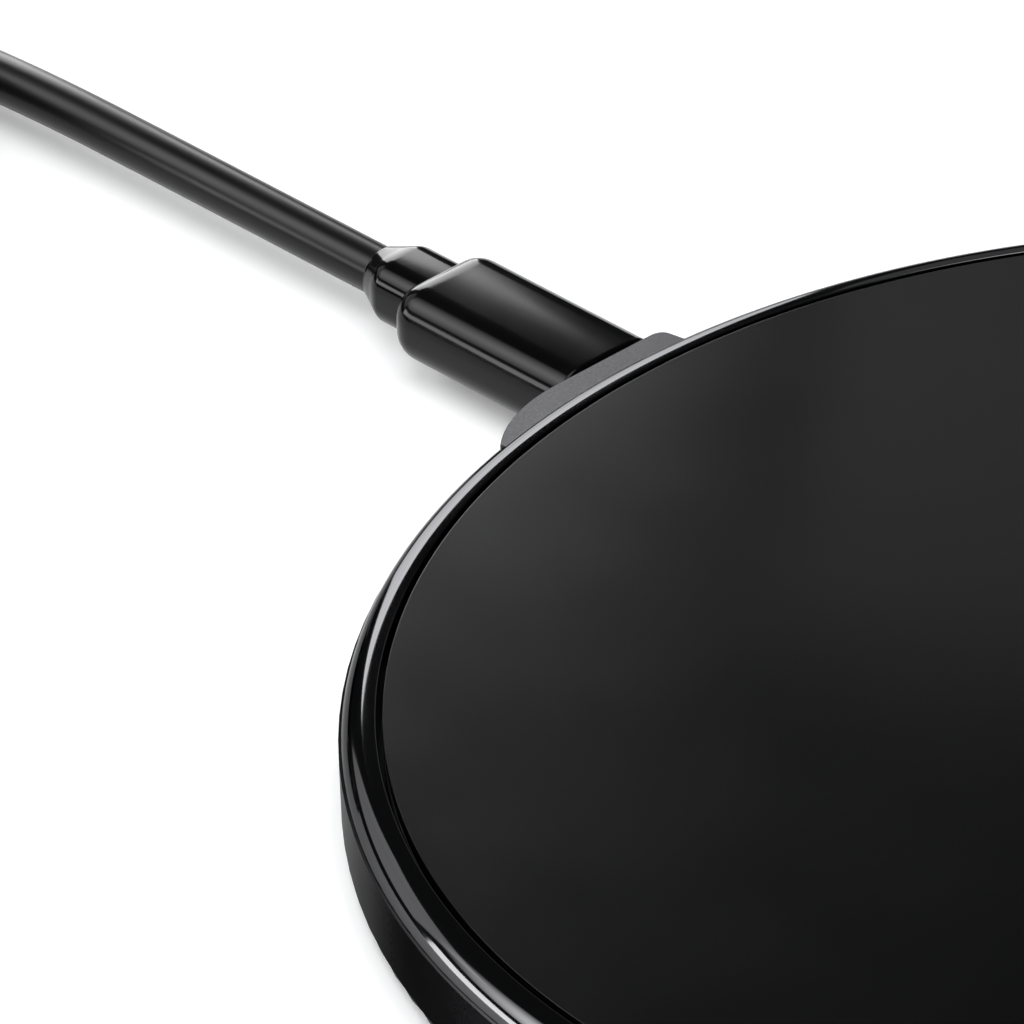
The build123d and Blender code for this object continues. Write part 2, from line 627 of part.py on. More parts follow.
def plug_slot():
    """Room in the plug for the socket's tongue and both sets of contacts."""
    high = Z_PORT + TONGUE_THICKNESS / 2 + TONGUE_CLEAR
    half = TONGUE_WIDTH / 2 + TONGUE_CLEAR
    return block(-half, half, 0, Y_OVERMOLD, plug_slot_floor(), high)


def plug_slot_floor():
    return Z_PORT - TONGUE_THICKNESS / 2 - 2 * CONTACT_THICKNESS - CONTACT_GAP


def plug_insulator():
    start = Y_OVERMOLD - PLUG_SHELL_REACH + PLUG_TIP_SETBACK
    body = along_y(plug_outline(-SHELL_WALL), 0, Z_PORT, start, Y_OVERMOLD + PLUG_SHELL_ROOT)
    return body - plug_slot()


def plug_contacts():
    """Strips on the floor of the plug's slot."""
    low = plug_slot_floor()
    start = Y_OVERMOLD - PLUG_SHELL_REACH + PLUG_TIP_SETBACK + CONTACT_SETBACK
    half = CONTACT_WIDTH / 2
    places = contact_places(CONTACT_COUNT, CONTACT_PITCH)
    high = low + CONTACT_THICKNESS
    return [block(x - half, x + half, start, Y_OVERMOLD, low, high) for x in places]


def neck(x, z, root, step, taper, size, corner):
    """Strain relief from its root to a straight part, then tapering down to the cable."""
    toward = 1 if step > root else -1
    end = step + toward * taper
    bar = rounded_box(x, z, root, step, size, corner)
    near, far = sorted((step, end))
    tip = CABLE_DIAMETER + 2 * TAPER_WALL
    shapes = {step: RectangleRounded(size[0], size[1], corner)}
    shapes[end] = RectangleRounded(tip, tip, tip * 0.49)
    faces = []
    for y in (near, far):
        faces.append(Plane(origin=(x, y, z), x_dir=(-1, 0, 0), z_dir=(0, 1, 0)) * shapes[y])
    bar += loft(faces)
    bore = sorted((end + toward, end - toward * CABLE_ROOT))
    return bar - along_y(Circle(CABLE_DIAMETER / 2), x, z, *bore)


def plug_overmold():
    size = (OVERMOLD_WIDTH, OVERMOLD_HEIGHT)
    body = rounded_box(0, Z_PORT, Y_OVERMOLD, Y_OVERMOLD_END, size, OVERMOLD_ROUND, OVERMOLD_END_ROUND)
    body -= along_y(plug_outline(0), 0, Z_PORT, Y_OVERMOLD - 1, Y_OVERMOLD + PLUG_SHELL_ROOT)
    size = (NECK_WIDTH, NECK_HEIGHT)
    return body - rounded_box(0, Z_PORT, Y_OVERMOLD_END - NECK_ROOT, Y_OVERMOLD_END + 1, size, NECK_ROUND)


def plug_neck():
    size = (NECK_WIDTH, NECK_HEIGHT)
    step = Y_OVERMOLD_END + NECK_LENGTH
    return neck(0, Z_PORT, Y_OVERMOLD_END - NECK_ROOT, step, NECK_TAPER, size, NECK_ROUND)


# --- Cable ---


def corner_radii(points):
    """Each arc takes 0.45 of the shorter run beside it."""
    radii = []
    for before, here, after in zip(points, points[1:], points[2:]):
        run_in, run_out = Vector(*here) - Vector(*before), Vector(*after) - Vector(*here)
        half_turn = math.radians(run_in.get_angle(run_out)) / 2
        radii.append(0.45 * min(run_in.length, run_out.length) / math.tan(half_turn))
    return radii


def cable_tube(name, points):
    """Cable along straight runs joined by tangent arcs; its end in a neck is straight."""
    radii = corner_radii(points)
    path = FilletPolyline(*points, radius=radii)
    start, heading = path @ 0, path % 0
    tube = sweep(Plane(origin=start, z_dir=heading) * Circle(CABLE_DIAMETER / 2), path=path)
    expected = math.pi / 4 * CABLE_DIAMETER**2 * path.length
    print(name, "radii", [round(r, 1) for r in radii], "length", round(path.length, 2))
    print(name, "volume", round(tube.volume, 2), "section times length", round(expected, 2))
    return tube


def cable_run():
    return cable_tube("cable_run", RUN_POINTS)


def cable_tail():
    return cable_tube("cable_tail", TAIL_POINTS)


def bundle_section(grow):
    """Radius and height limits of the wound turns, grown by a margin."""
    outer = BUNDLE_OUTER_TURN + CABLE_DIAMETER / 2
    inner = outer - BUNDLE_COLUMNS * CABLE_DIAMETER
    return inner - grow, outer + grow, -grow, BUNDLE_ROWS * CABLE_DIAMETER + grow


def cable_coil():
    inner, outer, low, high = bundle_section(0)
    section = RectangleRounded(outer - inner, high - low, CABLE_DIAMETER / 2)
    placed = Plane.XZ * Pos((inner + outer) / 2, (low + high) / 2) * section
    return Pos(BUNDLE_X, BUNDLE_Y, 0) * revolve(placed, Axis.Z)


def cable_tie():
    """Hook-and-loop band round the bundle, pulled a little into it."""
    inner, outer, low, high = bundle_section(TIE_THICKNESS * (1 - TIE_SQUEEZE))
    lift = -low
    wide, tall = outer - inner, high - low
    band = RectangleRounded(wide, tall, CABLE_DIAMETER / 2)
    thick = TIE_THICKNESS
    band -= RectangleRounded(wide - 2 * thick, tall - 2 * thick, CABLE_DIAMETER / 2 - thick)
    placed = Plane.XZ * Pos((inner + outer) / 2, tall / 2 + low + lift) * band
    loop = extrude(placed, TIE_WIDTH / 2, both=True)
    return Pos(BUNDLE_X, BUNDLE_Y, 0) * Rot(0, 0, TIE_ANGLE) * loop


# --- Supply plug, which points to -Y beside the bundle ---

Y_A_OVERMOLD_BACK = Y_A_NECK_END - A_NECK_LENGTH - A_NECK_TAPER
Y_A_OVERMOLD = Y_A_OVERMOLD_BACK - A_OVERMOLD_LENGTH
Y_A_TIP = Y_A_OVERMOLD - A_SHELL_REACH


def a_overmold():
    size = (A_OVERMOLD_WIDTH, A_OVERMOLD_HEIGHT)
    rounds = (A_OVERMOLD_ROUND, A_OVERMOLD_END_ROUND)
    body = rounded_box(TAIL_X, Z_A_PLUG, Y_A_OVERMOLD, Y_A_OVERMOLD_BACK, size, *rounds)
    shell = Rectangle(A_SHELL_WIDTH, A_SHELL_HEIGHT)
    body -= along_y(shell, TAIL_X, Z_A_PLUG, Y_A_OVERMOLD - 1, Y_A_OVERMOLD + A_SHELL_ROOT)
    size = (A_NECK_WIDTH, A_NECK_HEIGHT)
    root = Y_A_OVERMOLD_BACK - NECK_ROOT
    return body - rounded_box(TAIL_X, Z_A_PLUG, root, Y_A_OVERMOLD_BACK + 1, size, A_NECK_ROUND)


def a_neck():
    size = (A_NECK_WIDTH, A_NECK_HEIGHT)
    step = Y_A_OVERMOLD_BACK + A_NECK_LENGTH
    return neck(TAIL_X, Z_A_PLUG, Y_A_OVERMOLD_BACK - NECK_ROOT, step, A_NECK_TAPER, size, A_NECK_ROUND)


def a_shell():
    """Folded steel shell with its two latch windows top and bottom."""
    back = Y_A_OVERMOLD + A_SHELL_ROOT
    shell = along_y(Rectangle(A_SHELL_WIDTH, A_SHELL_HEIGHT), TAIL_X, Z_A_PLUG, Y_A_TIP, back)
    inner = Rectangle(A_SHELL_WIDTH - 2 * A_SHELL_WALL, A_SHELL_HEIGHT - 2 * A_SHELL_WALL)
    shell -= along_y(inner, TAIL_X, Z_A_PLUG, Y_A_TIP - 1, back + 1)
    middle = Y_A_TIP + A_WINDOW_SETBACK + A_WINDOW / 2
    for side in (-1, 1):
        x = TAIL_X + side * A_WINDOW_PITCH / 2
        shell -= Pos(x, middle, Z_A_PLUG) * Box(A_WINDOW, A_WINDOW, 2 * A_SHELL_HEIGHT)
    return shell


def a_tongue_levels():
    low = Z_A_PLUG - A_SHELL_HEIGHT / 2 + A_SHELL_WALL
    return low, low + A_TONGUE_THICKNESS


def a_insulator():
    low, high = a_tongue_levels()
    half = A_SHELL_WIDTH / 2 - A_SHELL_WALL
    top = Z_A_PLUG + A_SHELL_HEIGHT / 2 - A_SHELL_WALL
    back = Y_A_OVERMOLD + A_SHELL_ROOT
    body = block(TAIL_X - half, TAIL_X + half, Y_A_TIP + A_TONGUE_SETBACK, back, low, high)
    return body + block(TAIL_X - half, TAIL_X + half, Y_A_OVERMOLD, back, low, top)


def a_contacts():
    middle_y = Y_A_TIP + A_CONTACT_SETBACK + A_CONTACT_LENGTH / 2
    middle_z = a_tongue_levels()[1] + A_CONTACT_THICKNESS / 2
    strip = Box(A_CONTACT_WIDTH, A_CONTACT_LENGTH, A_CONTACT_THICKNESS)
    places = contact_places(A_CONTACT_COUNT, A_CONTACT_PITCH)
    return [Pos(TAIL_X + x, middle_y, middle_z) * strip for x in places]


PIECES = {
    "base_shell": base_shell,
    "foot_pad": foot_pad,
    "rim_ring": rim_ring,
    "top_panel": top_panel,
    "panel_adhesive": panel_adhesive,
    "inner_tray": inner_tray,
    "housing_screws": housing_screws,
    "coil_tape": coil_tape,
    "ferrite_sheet": ferrite_sheet,
    "charging_coil": coil,
    "coil_leads": coil_leads,
    "thermistor": thermistor,
    "main_board": main_board,
    "board_screws": board_screws,
    "controller_chip": controller_chip,
    "power_chips": power_chips,
    "resonant_capacitors": resonant_capacitors,
    "power_inductor": power_inductor,
    "input_capacitors": input_capacitors,
    "socket_shell": socket_shell,
    "socket_tongue": socket_tongue,
    "socket_contacts": socket_contacts,
    "plug_shell": plug_shell,
    "plug_insulator": plug_insulator,
    "plug_contacts": plug_contacts,
    "plug_overmold": plug_overmold,
    "plug_neck": plug_neck,
    "cable_run": cable_run,
    "cable_coil": cable_coil,
    "cable_tie": cable_tie,
    "cable_tail": cable_tail,
    "supply_plug_neck": a_neck,
    "supply_plug_overmold": a_overmold,
    "supply_plug_shell": a_shell,
    "supply_plug_insulator": a_insulator,
    "supply_plug_contacts": a_contacts,
}


def main():
    os.makedirs("parts", exist_ok=True)
    for name, build in PIECES.items():
        made = build()
        solids = made if isinstance(made, list) else made.solids()
        solids = [solid for item in solids for solid in item.solids()]
        shape = solids[0] if len(solids) == 1 else Compound(children=solids)
        export_step(shape, f"parts/{name}.step")
        print(name, len(solids), "solid(s)")


if __name__ == "__main__":
    main()
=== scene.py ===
"""Wireless charging pad: the finished look of the pad, its plug-in lead and the length coiled for storage.

Sizes in the classes below are in millimetres, and MM turns them into the frame's metres.
"""
import logging
import math
from dataclasses import dataclass, field
from enum import Enum

import bmesh
import bpy
from mathutils import Matrix, Vector


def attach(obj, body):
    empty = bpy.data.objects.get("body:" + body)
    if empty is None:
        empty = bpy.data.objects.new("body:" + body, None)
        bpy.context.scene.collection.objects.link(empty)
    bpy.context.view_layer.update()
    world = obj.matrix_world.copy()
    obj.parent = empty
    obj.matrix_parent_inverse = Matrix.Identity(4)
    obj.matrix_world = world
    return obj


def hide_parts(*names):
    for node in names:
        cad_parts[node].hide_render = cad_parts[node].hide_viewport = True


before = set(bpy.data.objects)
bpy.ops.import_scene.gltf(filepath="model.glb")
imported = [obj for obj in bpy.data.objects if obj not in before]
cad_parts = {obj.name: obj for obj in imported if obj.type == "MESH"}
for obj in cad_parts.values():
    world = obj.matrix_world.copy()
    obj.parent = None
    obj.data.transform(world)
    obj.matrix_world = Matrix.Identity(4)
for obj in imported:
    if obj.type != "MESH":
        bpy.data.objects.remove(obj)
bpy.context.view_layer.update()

MM = 0.001
SMOOTH_BELOW = math.radians(32)
EDGE = "edge"
ON_AXIS = 1e-6
SHOULDER_WEAR = 0.1  # wear all over the rim's shoulder
RUB_GLOSS = 0.12  # how much duller a rubbed edge is
RUB_LIFT, RUB_GAIN = 0.004, 1.6  # how much paler it is

log = logging.getLogger("charging_pad")

Colour = tuple[float, float, float]
Point = tuple[float, float, float]
Flat = tuple[float, float]
Weighted = tuple[float, float, float]


# --- Finishes ---


class Relief(Enum):
    """How the fine relief of a finish runs."""

    MOULDED = "fine mould grain"
    TURNED = "turned or lapped in circles about the pad's axis"
    DRAWN = "drawn along the lead"
    ROLLED = "rolled across the lead"
    STRANDED = "bundled strands"
    PILE = "hook-and-loop pile"
    ETCHED = "board tracks under a mask"


class Wiring:
    """Nodes of one tree, added and joined in a line each."""

    def __init__(self, tree: bpy.types.NodeTree) -> None:
        """Take the tree to be wired."""
        self.tree = tree

    def add(self, kind: str, sockets: dict | None = None, **settings: object) -> bpy.types.Node:
        """Add a node.

        Args:
            kind: the node's type name.
            sockets: value, or another node's output, for each input, by its name or number.
            settings: the node's own properties.

        Returns:
            The new node.
        """
        node = self.tree.nodes.new(kind)
        for name, value in settings.items():
            setattr(node, name, value)
        for name, value in (sockets or {}).items():
            if isinstance(value, bpy.types.NodeSocket):
                self.tree.links.new(value, node.inputs[name])
            else:
                node.inputs[name].default_value = value
        return node

    def out(self, kind: str, sockets: dict | None = None, **settings: object) -> bpy.types.NodeSocket:
        """Add a node, as add does, and give its first output."""
        return self.add(kind, sockets, **settings).outputs[0]

    def maths(self, operation: str, first: object, second: object = 0.0) -> bpy.types.NodeSocket:
        """Two values through one sum, such as MULTIPLY or ADD."""
        return self.out("ShaderNodeMath", {0: first, 1: second}, operation=operation)

    def spread(self, value: object, low: float, high: float) -> bpy.types.NodeSocket:
        """Stretch the middle of a noise, about 0.3 to 0.7, to run from low to high."""
        sockets = {"Value": value, "From Min": 0.3, "From Max": 0.7, "To Min": low, "To Max": high}
        return self.out("ShaderNodeMapRange", sockets)

    def tint(self, factor: object, first: object, second: object) -> bpy.types.NodeSocket:
        """Mix two colours by a factor."""
        return self.add("ShaderNodeMix", {0: factor, 6: first, 7: second}, data_type="RGBA").outputs[2]


@dataclass(frozen=True)
class Finish:
    """One finish: its colour, its gloss and the fine relief that gives it a real surface."""

    name: str
    colour: Colour
    roughness: float
    relief: Relief = Relief.MOULDED
    metallic: float = 0.0
    specular: float = 0.5
    edge_tint: Colour = (1.0, 1.0, 1.0)
    grain: float = 0.25
    depth: float = 0.004
    gloss_spread: float = 0.04
    tone_spread: float = 0.15
    wear: float = 0.25
    coat: float = 0.0
    sheen: float = 0.0
    stretch: Point = (1.0, 1.0, 1.0)

    def material(self) -> bpy.types.Material:
        """The finish's material, wired the first time that it is asked for.

        Returns:
            A material with its colour, gloss, wear and bump from nodes.
        """
        made = bpy.data.materials.get(self.name)
        if made:
            return made
        made = bpy.data.materials.new(self.name)
        made.use_nodes = True
        made.node_tree.nodes.clear()
        wiring = Wiring(made.node_tree)
        place = wiring.add("ShaderNodeTexCoord").outputs["Object"]
        height = self.height(wiring, place)
        patches = wiring.out("ShaderNodeTexNoise", {"Vector": place, "Scale": 90.0, "Detail": 3.0})
        worn = wiring.add("ShaderNodeAttribute", attribute_name=EDGE).outputs["Fac"]
        rubbed = wiring.maths("MULTIPLY", worn, wiring.spread(patches, 0.3 * self.wear, self.wear))
        deep = (*(c * (1 - self.tone_spread) for c in self.colour), 1.0)
        pale = (*(c * (1 + self.tone_spread) for c in self.colour), 1.0)
        bare = (*(min(1.0, RUB_LIFT + RUB_GAIN * c) for c in self.colour), 1.0)
        colour = wiring.tint(wiring.spread(height, 0.0, 1.0), deep, pale)
        colour = wiring.tint(rubbed, colour, bare)
        gloss = wiring.spread(patches, self.roughness - self.gloss_spread, self.roughness + self.gloss_spread)
        gloss = wiring.maths("ADD", gloss, wiring.maths("MULTIPLY", rubbed, RUB_GLOSS))
        sockets = {"Height": height, "Distance": self.depth * MM, "Strength": 1.0}
        bump = wiring.out("ShaderNodeBump", sockets)
        shader = wiring.add(
            "ShaderNodeBsdfPrincipled",
            {
                "Base Color": colour,
                "Roughness": gloss,
                "Normal": bump,
                "Metallic": self.metallic,
                "Specular IOR Level": self.specular,
                "Specular Tint": (*self.edge_tint, 1.0),
                "Coat Weight": self.coat,
                "Sheen Weight": self.sheen,
            },
        )
        wiring.add("ShaderNodeOutputMaterial", {"Surface": shader.outputs[0]})
        return made

    def height(self, wiring: Wiring, place: bpy.types.NodeSocket) -> bpy.types.NodeSocket:
        """Wire the relief.

        Args:
            wiring: the material's nodes.
            place: the surface's own coordinates.

        Returns:
            The height of the fine relief, about 0 to 1.
        """
        fine = 1 / (self.grain * MM)
        if self.relief is Relief.TURNED:
            parts = wiring.add("ShaderNodeSeparateXYZ", {0: place}).outputs
            flat = wiring.out("ShaderNodeCombineXYZ", {0: parts[0], 1: parts[1]})
            radius = wiring.add("ShaderNodeVectorMath", {0: flat}, operation="LENGTH").outputs["Value"]
            up = wiring.maths("MULTIPLY", parts[2], fine)
            along = wiring.maths("ADD", wiring.maths("MULTIPLY", radius, fine), up)
            sockets = {"W": along, "Scale": 1.0, "Detail": 2.0}
            return wiring.out("ShaderNodeTexNoise", sockets, noise_dimensions="1D")
        drawn_out = {Relief.DRAWN: (1.0, 0.05, 1.0), Relief.ROLLED: (0.08, 1.0, 0.08)}
        stretch = drawn_out.get(self.relief, self.stretch)
        mapped = wiring.out("ShaderNodeMapping", {"Vector": place, "Scale": stretch})
        if self.relief is Relief.STRANDED:
            sockets = {"Vector": mapped, "Scale": fine, "Distortion": 1.5, "Detail": 2.0}
            return wiring.add("ShaderNodeTexWave", sockets, bands_direction="DIAGONAL").outputs["Fac"]
        if self.relief is Relief.PILE:
            sockets = {"Vector": mapped, "Scale": fine, "Randomness": 0.8}
            return wiring.add("ShaderNodeTexVoronoi", sockets).outputs["Distance"]
        if self.relief is Relief.ETCHED:
            sockets = {"Vector": mapped, "Scale": fine, "Mortar Size": 0.06, "Mortar Smooth": 0.4,
                       "Row Height": 0.5}
            bricks = wiring.add("ShaderNodeTexBrick", sockets).outputs["Fac"]
            grain = wiring.out("ShaderNodeTexNoise", {"Vector": place, "Scale": 4 * fine})
            return wiring.maths("ADD", wiring.maths("MULTIPLY", bricks, 0.6), wiring.maths("MULTIPLY", grain, 0.4))
        return wiring.out("ShaderNodeTexNoise", {"Vector": mapped, "Scale": fine, "Detail": 4.0})


PANEL = Finish("satin_black_panel", (0.002, 0.002, 0.0021), 0.18, specular=0.25, grain=0.12, depth=0.0004,
               gloss_spread=0.01, wear=0.05)
RIM = Finish("dark_polished_rim", (0.09, 0.09, 0.093), 0.07, Relief.TURNED, 1.0, edge_tint=(0.45, 0.45, 0.45),
             grain=0.09, depth=0.00004, gloss_spread=0.015, tone_spread=0.05, wear=0.1)
SHELL = Finish("satin_dark_shell", (0.036, 0.0358, 0.037), 0.3, metallic=1.0, edge_tint=(0.3, 0.3, 0.3), grain=0.16,
               depth=0.001, wear=0.1)
LUG = Finish("satin_rim_lug", (0.05, 0.05, 0.052), 0.24, metallic=1.0, edge_tint=(0.4, 0.4, 0.4), grain=0.16,
             depth=0.0006, gloss_spread=0.015, wear=0.1)
FOOT = Finish("soft_foot", (0.045, 0.045, 0.045), 0.75, grain=0.3, depth=0.012, gloss_spread=0.08)
OVERMOLD = Finish("satin_black_overmold", (0.002, 0.002, 0.002), 0.12, specular=0.16, grain=0.5, depth=0.0006,
                  gloss_spread=0.02, wear=0.05)
JACKET = Finish("black_cable_jacket", (0.003, 0.003, 0.003), 0.3, specular=0.2, grain=0.35, depth=0.002,
                gloss_spread=0.03, wear=0.0)
STRAP = Finish("black_strap", (0.02, 0.02, 0.021), 0.8, Relief.PILE, grain=0.35, depth=0.08, sheen=0.15)
PILE = Finish("black_strap_pile", (0.03, 0.03, 0.031), 0.7, grain=0.1, depth=0.01, sheen=0.2)
STEEL = Finish("plated_steel", (0.6, 0.59, 0.56), 0.24, Relief.DRAWN, 1.0, grain=0.08, depth=0.001,
               gloss_spread=0.06, tone_spread=0.06)
SCREW_STEEL = Finish("dark_screw_steel", (0.32, 0.32, 0.33), 0.34, Relief.TURNED, 1.0, grain=0.1, depth=0.002)
GOLD = Finish("gold_plated_contact", (0.83, 0.6, 0.25), 0.22, Relief.DRAWN, 1.0, grain=0.06, depth=0.0006)
CONNECTOR = Finish("black_connector_plastic", (0.03, 0.03, 0.032), 0.45, grain=0.12, depth=0.003)
TRAY = Finish("glass_filled_tray", (0.05, 0.05, 0.052), 0.55, grain=0.2, depth=0.01, stretch=(1.0, 0.4, 1.0))
ADHESIVE = Finish("double_sided_film", (0.5, 0.47, 0.38), 0.5, grain=0.6, depth=0.006)
COPPER = Finish("enamelled_strand", (0.62, 0.24, 0.09), 0.3, Relief.STRANDED, 1.0, grain=0.35, depth=0.03,
                coat=0.4)
FERRITE = Finish("sintered_ferrite", (0.035, 0.035, 0.038), 0.62, grain=0.08, depth=0.006, gloss_spread=0.09)
TAPE = Finish("amber_film_tape", (0.5, 0.24, 0.04), 0.28, Relief.ROLLED, grain=0.5, depth=0.003)
BOARD = Finish("green_masked_board", (0.012, 0.09, 0.035), 0.3, Relief.ETCHED, grain=1.4, depth=0.02,
               tone_spread=0.4)
CHIP = Finish("moulded_chip", (0.02, 0.02, 0.022), 0.58, grain=0.07, depth=0.004)
CERAMIC = Finish("tan_ceramic", (0.3, 0.19, 0.11), 0.4, grain=0.09, depth=0.003)
SENSOR = Finish("epoxy_bead", (0.04, 0.035, 0.03), 0.25, grain=0.5, depth=0.006)

CARRIED_OVER = {
    "base_shell": SHELL,
    "inner_tray": TRAY,
    "panel_adhesive": ADHESIVE,
    "coil_tape": TAPE,
    "ferrite_sheet": FERRITE,
    "coil_leads": COPPER,
    "thermistor": SENSOR,
    "main_board": BOARD,
    "controller_chip": CHIP,
    "power_chips": CHIP,
    "power_inductor": CHIP,
    "resonant_capacitors": CERAMIC,
    "input_capacitors": CERAMIC,
    "socket_shell": STEEL,
    "socket_tongue": CONNECTOR,
    "plug_shell": STEEL,
    "plug_insulator": CONNECTOR,
    "supply_plug_shell": STEEL,
    "supply_plug_insulator": CONNECTOR,
}


# --- Mesh making ---


@dataclass
class Outline:
    """A line of corners, each (across, up, radius), with its round corners worked out."""

    corners: list[Point]
    closed: bool = True
    steps: int = 10
    guard: float = 0.12

    def points(self) -> list[Weighted]:
        """The outline's points.

        Returns:
            (across, up, edge) in order, where edge is 1 in the middle of a rounded corner and 0 on a flat.
        """
        found: list[Weighted] = []
        last = len(self.corners) - 1
        for i, (across, up, radius) in enumerate(self.corners):
            if not radius or (not self.closed and i in (0, last)):
                found.append((across, up, 0.0))
                continue
            here = Vector((across, up))
            before = (Vector(self.corners[i - 1][:2]) - here).normalized()
            after = (Vector(self.corners[(i + 1) % (last + 1)][:2]) - here).normalized()
            half = before.angle(after) / 2
            reach = radius / math.tan(half)
            centre = here + (before + after).normalized() * (radius / math.sin(half))
            start, end = here + before * reach, here + after * reach
            turn = (start - centre).angle_signed(end - centre)
            guard = self.guard * radius
            found.append((*(start + before * guard), 0.0))
            for k in range(self.steps + 1):
                arm = Matrix.Rotation(-turn * k / self.steps, 2) @ (start - centre)
                found.append((*(centre + arm), math.sin(math.pi * k / self.steps)))
            found.append((*(end + after * guard), 0.0))
        return found


def smoothed(bm: bmesh.types.BMesh, mesh: bpy.types.Mesh) -> None:
    """Face a worked mesh outwards, write it out smooth but for its sharp edges, and free it."""
    bmesh.ops.recalc_face_normals(bm, faces=bm.faces)
    bm.to_mesh(mesh)
    bm.free()
    for polygon in mesh.polygons:
        polygon.use_smooth = True
    mesh.set_sharp_from_angle(angle=SMOOTH_BELOW)


def finished(bm: bmesh.types.BMesh, name: str, finish: Finish) -> bpy.types.Object:
    """Turn a worked mesh into an object.

    Args:
        bm: the worked mesh, in metres and in place. It is freed.
        name: the piece's name.
        finish: what it is dressed in.

    Returns:
        The piece, at the origin, smooth but for its sharp edges.
    """
    mesh = bpy.data.meshes.new(name)
    smoothed(bm, mesh)
    mesh.materials.append(finish.material())
    piece = bpy.data.objects.new(name, mesh)
    bpy.context.scene.collection.objects.link(piece)
    return piece


def bridge(bm: bmesh.types.BMesh, rings: list[list[bmesh.types.BMVert]], around: bool, ends: bool) -> None:
    """Join rings of vertices with faces.

    Args:
        bm: the mesh being worked.
        rings: rings of equal length, or of one vertex at a pole.
        around: whether the last ring joins the first.
        ends: whether the first and last rings are filled.
    """
    pairs = list(zip(rings, rings[1:]))
    if around:
        pairs.append((rings[-1], rings[0]))
    for one, two in pairs:
        count = max(len(one), len(two))
        for i in range(count):
            k = (i + 1) % count
            corners = [one[i % len(one)], one[k % len(one)], two[k % len(two)], two[i % len(two)]]
            bm.faces.new(list(dict.fromkeys(corners)))
    if ends:
        bm.faces.new(rings[0])
        bm.faces.new(rings[-1])


def lofted(name: str, finish: Finish, sections: list[list[tuple[Point, float]]], around: bool = False,
           ends: bool = True) -> bpy.types.Object:
    """Join cross-sections into a piece.

    Args:
        name: the piece's name.
        finish: what it is dressed in.
        sections: rings of (place in millimetres, edge), of equal length or of one point at a pole.
        around: whether the last ring joins the first.
        ends: whether the first and last rings are filled.

    Returns:
        The piece.
    """
    bm = bmesh.new()
    edge = bm.verts.layers.float.new(EDGE)
    rings = []
    for section in sections:
        ring = []
        for place, worn in section:
            ring.append(bm.verts.new(Vector(place) * MM))
            ring[-1][edge] = worn
        rings.append(ring)
    bridge(bm, rings, around, ends)
    return finished(bm, name, finish)


def turned(name: str, finish: Finish, outline: Outline, segments: int = 480) -> bpy.types.Object:
    """Turn an outline about the pad's axis.

    Args:
        name: the piece's name.
        finish: what it is dressed in.
        outline: (radius, height) corners in millimetres; an open one starts and ends on the axis.
        segments: how many steps the turn takes.

    Returns:
        The turned piece.
    """
    sections = []
    for radius, height, worn in outline.points():
        angles = [2 * math.pi * i / segments for i in range(segments if radius > ON_AXIS else 1)]
        sections.append([((radius * math.cos(a), radius * math.sin(a), height), worn) for a in angles])
    return lofted(name, finish, sections, outline.closed, False)


@dataclass
class Station:
    """One cross-section of a moulded grip: where it is, and its half sizes and corner."""

    along: float
    half_width: float
    half_height: float
    corner: float
    worn: float = 0.0


@dataclass
class Grip:
    """A round-cornered moulding along the lead, given as stations along +Y."""

    x: float
    z: float
    steps: int = 9

    def bar(self, start: float, end: float, width: float, height: float, corner: float,
            first_round: float, last_round: float) -> list[Station]:
        """Stations of a bar with rounded ends.

        Args:
            start: where the bar starts along Y.
            end: where it ends.
            width: its width.
            height: its height.
            corner: radius of its long edges.
            first_round: radius round its first end.
            last_round: radius round its last end.

        Returns:
            Its stations from start to end.
        """
        found = []
        for place, inward, radius in ((start, 1, first_round), (end, -1, last_round)):
            rows = []
            for k in range(self.steps + 1):
                angle = math.pi / 2 * k / self.steps
                inset = radius * (1 - math.sin(angle))
                along = place + inward * radius * (1 - math.cos(angle))
                worn = math.sin(2 * angle)
                sharp = max(corner - inset, 0.1 * corner)
                rows.append(Station(along, width / 2 - inset, height / 2 - inset, sharp, worn))
            rows.append(Station(place + inward * radius * 1.15, width / 2, height / 2, corner))
            found += rows if inward > 0 else rows[::-1]
        return found

    def section(self, station: Station) -> list[Weighted]:
        """The rounded rectangle of one station, always with the same number of points."""
        w, h, r = station.half_width, station.half_height, station.corner
        found = []
        for quarter, (side, level) in enumerate(((1, 1), (-1, 1), (-1, -1), (1, -1))):
            for k in range(self.steps + 1):
                angle = math.radians(90 * (quarter + k / self.steps))
                across = self.x + side * (w - r) + r * math.cos(angle)
                up = self.z + level * (h - r) + r * math.sin(angle)
                found.append((across, up, 0.5 * math.sin(math.pi * k / self.steps)))
        return found

    def moulded(self, name: str, finish: Finish, stations: list[Station]) -> bpy.types.Object:
        """Loft the stations.

        Args:
            name: the piece's name.
            finish: what it is dressed in.
            stations: cross-sections in order along +Y.

        Returns:
            The moulding, closed at both ends.
        """
        sections = [[((x, s.along, z), min(1.0, max(worn, s.worn))) for x, z, worn in self.section(s)]
                    for s in stations]
        return lofted(name, finish, sections)


